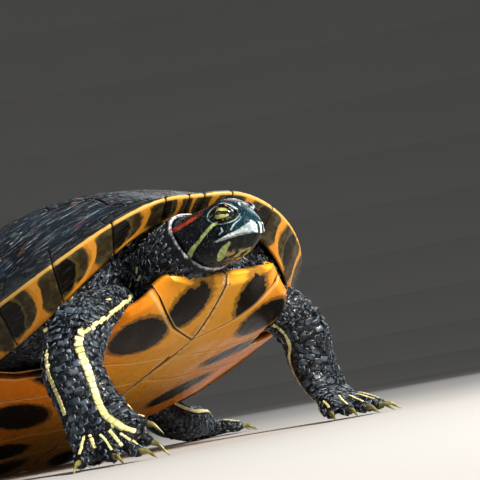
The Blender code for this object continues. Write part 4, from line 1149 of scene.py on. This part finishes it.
def head_grid():
    """Rings round the head, from the snout's tip back into the neck, in the head's own millimetres."""
    rows = np.array(smooth_path(HEAD_ROWS, 24))
    y, wide, top, low = rows[0]
    front = []
    for share in np.sin(np.linspace(0.02, 0.95, 9) * math.pi / 2):
        middle, half = (top + low) / 2, (top - low) / 2 * share
        front.append((y - 0.8 * (1 - share), wide * share, middle + half, middle - half))
    rows = np.vstack([front, rows])
    reach = np.concatenate([[0.0], np.cumsum(np.hypot(np.diff(rows[:, 0]), np.diff(rows[:, 1])))])
    wanted = np.linspace(0.0, reach[-1], HEAD_ALONG)
    y, wide, top, low = (np.interp(wanted, reach, rows[:, c])[:, None] for c in range(4))
    angles = np.linspace(0.0, 2 * math.pi, HEAD_AROUND, endpoint=False)
    across, up = (np.sign(w) * np.abs(w) ** power for w, power in (
        (np.cos(angles), WIDE_FLATNESS), (np.sin(angles), HIGH_FLATNESS)))
    height = (top + low) / 2 + (top - low) / 2 * up
    return np.stack([wide * across, np.repeat(y, HEAD_AROUND, 1), height], axis=-1)


def grid_normals(grid):
    out = np.cross(np.roll(grid, -1, axis=1) - np.roll(grid, 1, axis=1), np.gradient(grid, axis=0))
    out /= np.maximum(np.linalg.norm(out, axis=-1, keepdims=True), 1e-9)
    return out * np.sign(np.sum(out * (grid - grid.mean(axis=1, keepdims=True)), axis=-1).mean())


def mouth_height(y):
    return np.interp(y, *np.array(MOUTH).T)


def shape_jaws(grid):
    """Sets the lower jaw in under the beak, and cuts the mouth line, the nostrils and the ear disc."""
    out = grid_normals(grid)
    x, y, z = grid[..., 0], grid[..., 1], grid[..., 2]
    above = z - mouth_height(y)
    reach = 1.0 - smooth((y - 12.5) / 2.5)
    below = smooth(-above / 0.35) * reach
    push = -0.55 * below * (1.0 - 0.6 * smooth((-above - 1.0) / 4.0))
    push -= 0.75 * np.exp(-((above / 0.24) ** 2)) * reach
    push += 0.28 * np.exp(-(((above - 0.75) / 0.6) ** 2)) * reach
    for side in (-1, 1):
        near = np.sqrt((x - side * 1.25) ** 2 + (z + 0.35) ** 2 + (0.5 * (y - 0.4)) ** 2)
        push -= 0.9 * np.exp(-((near / 0.42) ** 2)) * (y < 3.0)
        push += 0.22 * np.exp(-(((near - 0.85) / 0.3) ** 2)) * (y < 3.0)
        ear = np.hypot(y - 22.0, (z + 2.6) * 1.1)
        push -= 0.45 * (1.0 - smooth((ear - 2.6) / 1.4)) * (x * side > 0)
        cheek = np.hypot((y - 17.0) / 7.0, (z + 6.5) / 3.6)
        push += 0.5 * np.exp(-(cheek ** 2)) * (x * side > 0)
    return grid + out * push[..., None]


def eye_arcs(points, sign):
    """Where points lie round an eye: arcs of the eyeball along and up, share of its ring, and offset."""
    centre, ahead, level, rise = (np.array(v) for v in eye_frame(sign))
    off = points - centre
    a, b, c = off @ level, off @ rise, off @ ahead
    flat = np.maximum(np.hypot(a, b), 1e-6)
    arc = EYE_RADIUS * np.arctan2(flat, c)
    round_eye = np.hypot(a / EYE_RING[0], b / EYE_RING[1]) + 9.0 * (c < -1.0)
    return a / flat * arc, b / flat * arc, round_eye, off


def shape_eyes(grid):
    """Wraps two lids round each eyeball and sinks the skin behind it."""
    points = grid.reshape(-1, 3)
    for sign in (-1, 1):
        a, b, round_eye, off = eye_arcs(points, sign)
        radius = np.linalg.norm(off, axis=1)
        ring = np.hypot(a / LIDS[0], b / np.where(b > 0, LIDS[1], LIDS[2]))
        brow = np.exp(-(((b - 4.4) / 2.2) ** 2) - (a / 4.5) ** 2)
        lid = EYE_RADIUS + 0.40 + 0.14 * (b > 0) + 0.5 * brow
        wrapped = blend(3.3, lid, smooth((ring - 1.0) / 0.14))
        wrapped = wrapped - 0.20 * np.exp(-(((ring - 1.28) / 0.05) ** 2))
        target = blend(radius, wrapped, 1.0 - smooth((round_eye - 0.88) / 0.42))
        target = target - 0.25 * np.exp(-(((round_eye - 1.0) / 0.05) ** 2))
        points = points + off * (target / radius - 1.0)[:, None]
    return points.reshape(grid.shape)


def head_mesh():
    return loft("head_skin", shape_eyes(shape_jaws(head_grid())), HEAD_PLACE, 0.0)


# ---------------------------------------------------------------- markings of the skin
RED = [(9.4, 18.6, 5.6), (10.0, 19.8, 5.1), (11.6, 24.0, 3.3), (12.4, 28.8, 1.4), (12.6, 33.0, 0.4)]
JAW_STRIPE = [(10.0, 11.9, 1.0), (10.5, 13.2, 0.6), (11.4, 16.1, -1.9), (11.6, 19.1, -4.6),
              (11.4, 23.3, -7.7), (11.4, 26.2, -10.2), (10.8, 32.0, -12.0)]
CHIN_STRIPE = [(8.0, 8.8, -6.4), (7.9, 11.2, -8.4), (7.2, 13.8, -10.4), (6.0, 16.3, -12.2)]
CHIN_LINE = [(2.4, 11.3, -11.3), (2.0, 8.1, -9.9), (0.2, 5.7, -8.7)]
SNOUT_LINES = [
    [(1.2, 7.4, 8.0), (2.6, 6.4, 5.5), (2.8, 4.2, 3.5), (5.6, 4.7, 1.4), (7.3, 6.3, -0.3), (8.0, 7.1, -1.8)],
    [(9.7, 10.1, -0.9), (9.6, 9.8, -2.0), (9.8, 11.1, -3.1)],
    [(8.2, 19.5, 8.4), (8.8, 25.0, 7.0), (9.4, 33.0, 5.6)], [(0.6, 10.0, 9.6), (0.6, 20.0, 10.2)],
]
# White of the upper jaw, from the beak back to the corner of the mouth: y, lower edge, upper edge
JAW_WHITE = [(0.0, -4.3, 0.2), (1.3, -3.7, 0.0), (2.0, -3.8, 0.0), (4.4, -4.1, -1.6), (6.0, -4.3, -2.5),
             (8.0, -4.8, -3.3), (11.4, -5.5, -4.8), (13.6, -5.8, -5.5)]
FORELEG_STRIPES = [
    [(-64.0, -93.0, 47.0), (-66.5, -94.2, 43.0), (-66.8, -95.8, 38.5), (-66.2, -97.2, 33.0),
     (-66.0, -98.4, 27.5), (-66.2, -100.8, 21.5), (-66.0, -104.0, 16.5), (-63.2, -108.4, 12.2),
     (-59.0, -110.2, 8.6)],
    [(-75.0, -86.0, 43.0), (-75.2, -87.0, 39.5), (-76.0, -88.4, 34.5), (-76.0, -90.2, 29.5),
     (-75.5, -91.2, 24.5), (-75.4, -92.6, 19.5)],
    [(-63.0, -93.4, 46.4), (-59.8, -93.4, 47.7), (-51.0, -90.0, 51.2), (-41.6, -83.6, 54.8),
     (-28.4, -70.8, 58.8)],
    [(-67.1, -106.2, 11.9), (-65.6, -109.9, 6.2)], [(-72.8, -102.3, 11.4), (-72.8, -105.3, 6.0)],
    [(-57.3, -103.8, 19.3), (-53.3, -104.5, 15.1)], [(-27.8, -63.0, 62.4), (-40.1, -53.1, 63.8)],
]
# Stripes of the other limbs run along them at an angle round the limb: start and end share, angle, half width
LIMB_STRIPES = {
    "fore_left": [(0.30, 0.95, 4.5, 1.2), (0.35, 0.9, 5.6, 0.8), (0.3, 0.9, 3.2, 0.8)],
    "hind": [(0.30, 1.0, 0.6, 1.0), (0.30, 1.0, 4.4, 1.0), (0.3, 1.0, 2.4, 0.8)],
    "tail": [(0.15, 0.98, 1.0, 0.8), (0.15, 0.98, 2.2, 0.8), (0.2, 0.98, 4.7, 0.8)],
}


def tube_line(tube, start, end, angle):
    return [tuple(tube.at(tube.reach[-1] * t, angle)) for t in np.linspace(start, end, 12)]


def body_stripes():
    """Every yellow stripe behind the head: its points and its half width."""
    found = list(zip(FORELEG_STRIPES, (1.85, 0.9, 0.9, 0.7, 0.7, 0.7, 0.7)))
    for kind, tube in (("fore_left", FORELEGS["left"]), ("hind", HIND_LEGS["left"]),
                       ("hind", HIND_LEGS["right"]), ("tail", TAIL_TUBE)):
        for start, end, angle, wide in LIMB_STRIPES[kind]:
            angle = math.pi - angle if tube is HIND_LEGS["right"] else angle
            found.append((tube_line(tube, start, end, angle), wide))
    lift = Vector((0.0, 0.0, 2.4))
    for digits, _ in DIGITS.values():
        found += [([tuple(Vector(knuckle) + lift), tuple(Vector(base) + lift * 0.8)], 0.55)
                  for knuckle, base, _ in digits]
    return found


FAR = 9.0                       # a marking's distance where there is none of it
NEAR_FLAT, NEAR_SIDE, NEAR_ROUND = np.array([0.35, 1.0, 1.0]), np.array([0.6, 1.0, 1.0]), np.ones(3)


def mark_skin(skin):
    """Works out, for each point, how far it lies from the edge of each marking."""
    world = mesh_rows(skin)
    body, head = to_frame(BODY_PLACE, world), to_frame(HEAD_PLACE, world)
    on_head = np.arange(len(world)) >= len(world) - HEAD_AROUND * HEAD_ALONG
    folded = np.column_stack([np.abs(head[:, 0]), head[:, 1], head[:, 2]])
    x, y, z = folded.T
    near = lambda route, wide, weight: away(folded * weight, np.array(route) * weight) - wide
    jaw_wide = blend(0.62, 0.85, smooth((y - 14.0) / 10.0))
    chin_wide = blend(0.4, 1.12, np.exp(-(((y - 12.8) / 2.8) ** 2)))
    stripe = np.minimum(near(JAW_STRIPE, jaw_wide, NEAR_FLAT), near(CHIN_STRIPE, chin_wide, NEAR_SIDE))
    stripe = np.minimum(stripe, near(CHIN_LINE, 0.4, NEAR_ROUND))
    below = body[~on_head]
    stripe[~on_head] = np.minimum.reduce([np.full(len(below), FAR)]
                                         + [away(below, route) - wide for route, wide in body_stripes()])
    a, b, round_eye, _ = eye_arcs(folded, 1)
    opening = np.hypot(a / LIDS[0], b / np.where(b > 0, LIDS[1], LIDS[2]))
    pale = np.minimum.reduce([np.abs(round_eye - 1.0) * 4.4 - 0.17]
                             + [near(route, 0.3, NEAR_SIDE) for route in SNOUT_LINES])
    low, high = (np.interp(y, *np.array(JAW_WHITE).T[[0, c]]) for c in (1, 2))
    white = np.maximum(low - z, z - high) + FAR * (y > 13.4)
    marks = {"red": (near(RED, blend(0.55, 1.1, smooth((y - 18.0) / 6.0)), NEAR_FLAT), FAR),
             "white": (np.maximum(white, 0.55 - np.abs(x - 1.15)), FAR), "pale": (pale, FAR),
             "jaw": (smooth((mouth_height(y) - z) / 0.5) * (1 - smooth((y - 8.5) / 3.0)), 0.0),
             "chin": (smooth((-8.3 - z) / 1.2) * (1 - smooth((y - 12.0) / 3.0)), 0.0),
             "lid": (smooth((opening - 0.95) / 0.1) * (1 - smooth((round_eye - 0.9) / 0.08)), 0.0),
             "snout": (1 - smooth((y - 3.0) / 7.0), 0.0)}
    write_fields(skin, head=on_head, stripe=stripe,
                 lip=np.where(on_head, 0.0, 1.0 - smooth((away(body, lip_line()) - 0.52) / 0.2)),
                 **{name: np.where(on_head, values, off) for name, (values, off) in marks.items()})


def skin_piece(look):
    """The whole skin; the head's points stay the last of its mesh."""
    body = join(flesh(), head_mesh())
    body.name = body.data.name = "skin"
    body.data.shade_smooth()
    mark_skin(body)
    return finish(body, look, "skin", *FLESH_NODES)


FLESH_NODES = sorted(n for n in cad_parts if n.startswith((
    "trunk", "neck", "head", "lower_jaw", "upper_arm", "forearm", "forefoot", "thigh", "shank", "hindfoot",
    "tail")))


# ---------------------------------------------------------------- scales
SCALE_SIDES = 12
SCALE_RINGS = ((0.97, -0.9), (1.0, 0.1), (0.92, 0.78), (0.6, 1.0))       # how far out, and how high
SCALE_SQUARENESS, SCALE_TILT, SCALE_LIFT, SCALE_JITTER = 0.46, 0.2, 0.3, 0.07
SKIN_GAP = 0.0022               # how far from the skin, in metres, a scale may have been asked for
CELL = 4.0                      # the size of the cells that scales are looked up in
# Middle and reach of a painted pale reflection on the scales round the elbow.
ELBOW_REFLECTION, ELBOW_REFLECTION_REACH = (-68.0, -88.0, 50.0), 13.0


def scale_shape():
    """One closed scale, a low rounded oblong a unit across: its points, each point's reach, and its faces."""
    n, last = SCALE_SIDES, (len(SCALE_RINGS) - 1) * SCALE_SIDES
    points = [(reach * signed_power(math.cos(angle), SCALE_SQUARENESS),
               reach * signed_power(math.sin(angle), SCALE_SQUARENESS), height)
              for reach, height in SCALE_RINGS for angle in turns(n, 0.5)]
    faces = ring_quads(len(SCALE_RINGS), n)
    for i in range(n):
        j = (i + 1) % n
        faces += [(last + i, last + j, last + n), (j, i, last + n + 1)]
    points += [(0.0, 0.0, 1.0), (0.0, 0.0, -0.9)]
    reaches = [reach for reach, _ in SCALE_RINGS for _ in range(n)] + [0.0, 1.0]
    return np.array(points), reaches, faces


class Coat:
    """Gathers scales over the skin, none on top of another, and makes them one piece."""

    def __init__(self, tree):
        self.tree = tree
        self.room = 0.62
        self.taken = {}

    def free(self, spot, room, stripe):
        """Whether a scale fits here; stripe is a yellow scale's half width, which keeps plain ones off it."""
        cell = [int(math.floor(c / CELL)) for c in spot]
        for step in product((-1, 0, 1), repeat=3):
            for other, size, kept in self.taken.get(tuple(c + s for c, s in zip(cell, step)), ()):
                limit = kept + room * 1.1 if kept and not stripe else (room + size) * 0.8
                if (other - spot).length < limit:
                    return False
        self.taken.setdefault(tuple(cell), []).append((spot, room, stripe))
        return True

    def make(self, name, roots, look):
        """Each root is place, long way, length, width, height, place on the map, and whether it is yellow."""
        shape, reaches, faces = scale_shape()
        rng = np.random.default_rng(sum(map(ord, name)))
        kept, spots, maps = [], [], []
        for spot, way, long, wide, high, u, v, yellow in roots:
            hit, normal, _, gap = self.tree.find_nearest(BODY_PLACE @ Vector(spot) * MM)
            if hit is None or gap > SKIN_GAP or not self.free(
                    hit / MM, min(long, wide) * self.room, yellow * wide / 2):
                continue
            normal = np.array(normal)
            way = np.array(way) - normal * np.dot(way, normal)
            way /= max(np.linalg.norm(way), 1e-9)
            sizes = np.array([long / 2, wide / 2, high]) * MM * (1 + rng.uniform(-0.07, 0.07))
            local = shape * sizes
            local[:, 2] += shape[:, 0] * sizes[2] * SCALE_TILT
            spots.append(np.array(hit) + local @ np.array([way, np.cross(normal, way), normal]))
            maps.append(np.array([u, v]) + shape[:, :2] * 0.0015)
            kept.append((tuple(spot), yellow, rng.random()))
        count = len(shape)
        piece = add_mesh(name, np.concatenate(spots).tolist(),
                         [tuple(k * count + i for i in face) for k in range(len(spots)) for face in faces])
        mesh = piece.data
        mesh.shade_smooth()
        corners = np.empty(len(mesh.loops), int)
        mesh.loops.foreach_get("vertex_index", corners)
        mesh.uv_layers.new(name="OFBake").data.foreach_set("uv", np.concatenate(maps)[corners].ravel())
        # A painted reflection, strongest at the elbow, added to each scale's random tone.
        pale = np.exp(-(away([k[0] for k in kept], [ELBOW_REFLECTION, ELBOW_REFLECTION]) / ELBOW_REFLECTION_REACH) ** 2)
        write_fields(piece, tint=np.repeat([k[2] for k in kept] + pale, count),
                     rim=np.tile(reaches, len(spots)), yellow=np.repeat([float(k[1]) for k in kept], count))
        return finish(piece, look, "skin")


def stripe_files(routes, corner):
    """One file of yellow scales along each stripe."""
    roots = []
    for n, (route, wide) in enumerate(routes):
        spots = [Vector(p) for p in smooth_path(route, 5)]
        reach = path_reach(spots)
        at = lambda distance: np.array([np.interp(distance, reach, [s[c] for s in spots]) for c in range(3)])
        long = max(1.6, wide * 1.3)
        for distance in np.arange(long * 0.4, reach[-1], long * 0.90):
            thin = blend(1.0, 0.5, distance / reach[-1]) if wide > 1.5 else 1.0
            roots.append((at(distance), at(distance + 0.8) - at(distance - 0.8), long, 2 * wide * thin, 0.3,
                          corner[0] + 0.004 * n, corner[1] + 0.25 * distance / reach[-1], True))
    return roots


def tube_scales(tube, rows, corner, span, rng):
    """Rings of scales round a limb, each set half a scale round from the last.

    rows says for each stretch where it starts and ends, and how long, wide and high its scales are.
    """
    roots = []
    for start, end, long, wide, high in rows:
        distance, row = tube.reach[-1] * start, 0
        while distance < tube.reach[-1] * end:
            count = max(6, int(tube.girth(distance) / wide))
            for k in range(count):
                share = (k + 0.5 * (row % 2)) / count + rng.normal() * SCALE_JITTER / count
                angle = 2 * math.pi * share
                at = lambda where: tube.at(where, angle, SCALE_LIFT)
                spot = at(distance + rng.normal() * long * SCALE_JITTER)
                ahead = at(distance + 1.0) - at(distance - 1.0)
                roots.append((spot, ahead, long * 0.97, wide * rng.uniform(0.92, 1.06), high,
                              corner[0] + span[0] * (share % 1.0),
                              corner[1] + span[1] * distance / tube.reach[-1], False))
            distance += long * 0.94
            row += 1
    return roots


NECK_GRAIN = (0.66, -0.45, 0.55)
NECK_MAP = (0.26, 0.72)
GRAINS_TRIED = 9000


def neck_roots(skin, rng):
    """Long grains over the neck and the skin between neck, shoulders and shell."""
    rows = to_frame(BODY_PLACE, mesh_rows(skin)[:-HEAD_AROUND * HEAD_ALONG])
    middle, ahead = (np.array(v) for v in collar_axis())
    wanted = (rows[:, 1] < -36.0) & (rows[:, 2] > 42.0) & (np.abs(rows[:, 0]) < 62.0)
    wanted &= ((middle - rows) @ ahead > 2.5) | (np.linalg.norm(rows - middle, axis=1) > 20.0)
    rows = rows[wanted]
    roots = []
    for x, y, z in rows[rng.permutation(len(rows))[:GRAINS_TRIED]]:
        way = (math.copysign(NECK_GRAIN[0], -x), *NECK_GRAIN[1:])
        long, wide = rng.uniform(2.2, 3.6), rng.uniform(1.0, 1.5)
        roots.append(((x, y, z), way, long, wide, 0.22, NECK_MAP[0] + 0.0018 * (x + 62.0),
                      NECK_MAP[1] + 0.003 * (z - 42.0), x < 0 < z - 52.0 and rng.random() > 0.98))
    return roots


# Start and end along a limb, then length, width and height of the scales there
FORELEG_ROWS = [(0.46, 1.0, 2.5, 3.9, 0.30), (0.10, 0.46, 1.5, 1.7, 0.26), (0.44, 1.0, 1.5, 1.6, 0.26)]
HIND_ROWS, SOLE_ROWS = [(0.1, 0.98, 2.0, 2.6, 0.32)], [(0.1, 0.95, 2.0, 2.3, 0.3)]
TAIL_ROWS, TOE_ROWS = [(0.2, 0.97, 1.8, 1.7, 0.3)], [(0.05, 0.93, 1.9, 2.5, 0.3)]


def coat(skin, look):
    """All the scales, those of the stripes first so that the others keep off them."""
    laid = Coat(BVHTree.FromObject(skin, bpy.context.evaluated_depsgraph_get()))
    rng = np.random.default_rng(11)
    span = (0.22, 0.42)
    laid.room = 0.40
    laid.make("stripe_scales", stripe_files(body_stripes(), (0.50, 0.70)), look)
    laid.room = 0.62
    for k, (side, _) in enumerate(SIDES):
        roots = tube_scales(FORELEGS[side], FORELEG_ROWS, (0.02 + 0.25 * k, 0.02), span, rng)
        laid.make(f"foreleg_scales_{side}", roots, look)
        roots = tube_scales(HIND_LEGS[side], HIND_ROWS, (0.52 + 0.24 * k, 0.02), span, rng)
        roots += tube_scales(SOLES[side], SOLE_ROWS, (0.52 + 0.24 * k, 0.46), (0.2, 0.2), rng)
        laid.make(f"hindleg_scales_{side}", roots, look)
    laid.make("tail_scales", tube_scales(TAIL_TUBE, TAIL_ROWS, (0.02, 0.46), span, rng), look)
    roots = []
    for digits, stations in DIGITS.values():
        for k, tube in enumerate(digit_tubes(digits, stations)):
            roots += tube_scales(tube, TOE_ROWS, (0.27, 0.46 + 0.03 * k), (0.2, 0.02), rng)
    laid.make("toe_scales", roots, look)
    grains = neck_roots(skin, rng)
    laid.make("neck_scales_left", [root for root in grains if root[0][0] >= 0.0], look)
    laid.make("neck_scales_right", [root for root in grains if root[0][0] < 0.0], look)


# ---------------------------------------------------------------- stage, camera and light
FLOOR_REACH, FLOOR_CURVE, FLOOR_SIDES = 1.6, 2.2, 72          # in metres, and how many sides its rings have


def floor_piece():
    """A pale floor that curves up all round, so no horizon shows."""
    profile = [(FLOOR_REACH + FLOOR_CURVE * math.sin(a), FLOOR_CURVE * (1 - math.cos(a)))
               for a in (0.0, *np.linspace(0.08, math.pi / 2, 16))]
    points = [(reach * math.cos(a), reach * math.sin(a), height) for reach, height in profile
              for a in turns(FLOOR_SIDES)]
    faces = [(b, a, d, c) for a, b, c, d in ring_quads(len(profile), FLOOR_SIDES)]
    piece = add_mesh("floor", points, faces + [tuple(range(FLOOR_SIDES))])
    look = Look("floor", Roughness=0.9, Specular_IOR_Level=0.1)
    look.colour = look.mix(look.noise(3.0, 2.0), (0.44, 0.435, 0.425), (0.47, 0.465, 0.455))
    piece.data.materials.append(look.done())


VIEW_TURN, VIEW_RISE, VIEW_ROLL = math.radians(34.6), math.radians(3.3), math.radians(10.1)
VIEW_FROM = Vector((-368.4, -624.2, 12.6))
VIEW_LENS, VIEW_AIM = 132.45, (0.00787, 0.03607)
LIT_MIDDLE = Vector((0.0, 0.0, 0.05))


def camera_axes():
    """Right, up and ahead for the camera, which is turned, raised, rolled and then aimed a little aside."""
    flat = Vector((math.sin(VIEW_TURN), math.cos(VIEW_TURN), 0.0))
    ahead = flat * math.cos(VIEW_RISE) + Vector(UP) * math.sin(VIEW_RISE)
    right = Vector((flat.y, -flat.x, 0.0))
    up = right.cross(ahead)
    rolled_right = right * math.cos(VIEW_ROLL) - up * math.sin(VIEW_ROLL)
    rolled_up = right * math.sin(VIEW_ROLL) + up * math.cos(VIEW_ROLL)
    aim = (ahead + rolled_right * VIEW_AIM[0] + rolled_up * VIEW_AIM[1]).normalized()
    rolled_right = (rolled_right - aim * rolled_right.dot(aim)).normalized()
    return rolled_right, rolled_right.cross(aim), aim


def set_camera():
    right, up, aim = camera_axes()
    lens = bpy.data.cameras.new("camera")
    lens.lens, lens.sensor_width = VIEW_LENS, 36.0
    lens.clip_start, lens.clip_end = 0.05, 20.0
    camera = add_object("camera", lens)
    place = Matrix((right, up, -aim)).transposed().to_4x4()
    place.translation = (VIEW_FROM + SHIFT) * MM
    camera.matrix_world = place
    bpy.context.scene.camera = camera


def area_light(name, spot, size, power, colour=(1.0, 1.0, 1.0)):
    """A square soft light that looks at the middle of the animal."""
    lamp = bpy.data.lights.new(name, "AREA")
    lamp.size, lamp.energy, lamp.color = size, power, colour
    held = add_object(name, lamp)
    held.location = spot
    held.rotation_euler = (LIT_MIDDLE - Vector(spot)).to_track_quat("-Z", "Y").to_euler()


def lights():
    area_light("key", (0.22, -0.80, 0.58), 0.24, 19.0, (1.0, 0.96, 0.90))
    area_light("low fill", (-0.30, -1.10, 0.14), 0.40, 2.7, (1.0, 0.97, 0.93))
    area_light("side fill", (-1.1, 0.1, 0.6), 0.9, 2.1, (0.90, 0.95, 1.0))
    area_light("far side", (1.0, 0.6, 0.8), 0.8, 5.0)
    scene = bpy.context.scene
    scene.world = bpy.data.worlds.new("world")
    scene.world.use_nodes = True
    shade = next(n for n in scene.world.node_tree.nodes if n.type == "BACKGROUND")
    shade.inputs["Color"].default_value = (0.92, 0.95, 1.0, 1.0)
    shade.inputs["Strength"].default_value = 0.12
    scene.view_settings.view_transform, scene.view_settings.gamma = "Standard", 0.9


# ---------------------------------------------------------------- the whole animal
def build():
    deselect()
    back_plates(back_look())
    belly_plates(belly_look())
    margin_plates(margin_look())
    skin = skin_piece(skin_look())
    coat(skin, scale_look())
    iris, horn = eye_look(), claw_look()
    for side, sign in SIDES:
        eyeball(side, sign, iris)
    for place, (digits, _) in DIGITS.items():
        claws(f"{place}_claws", digits, horn)
    floor_piece()
    set_camera()
    lights()


build()
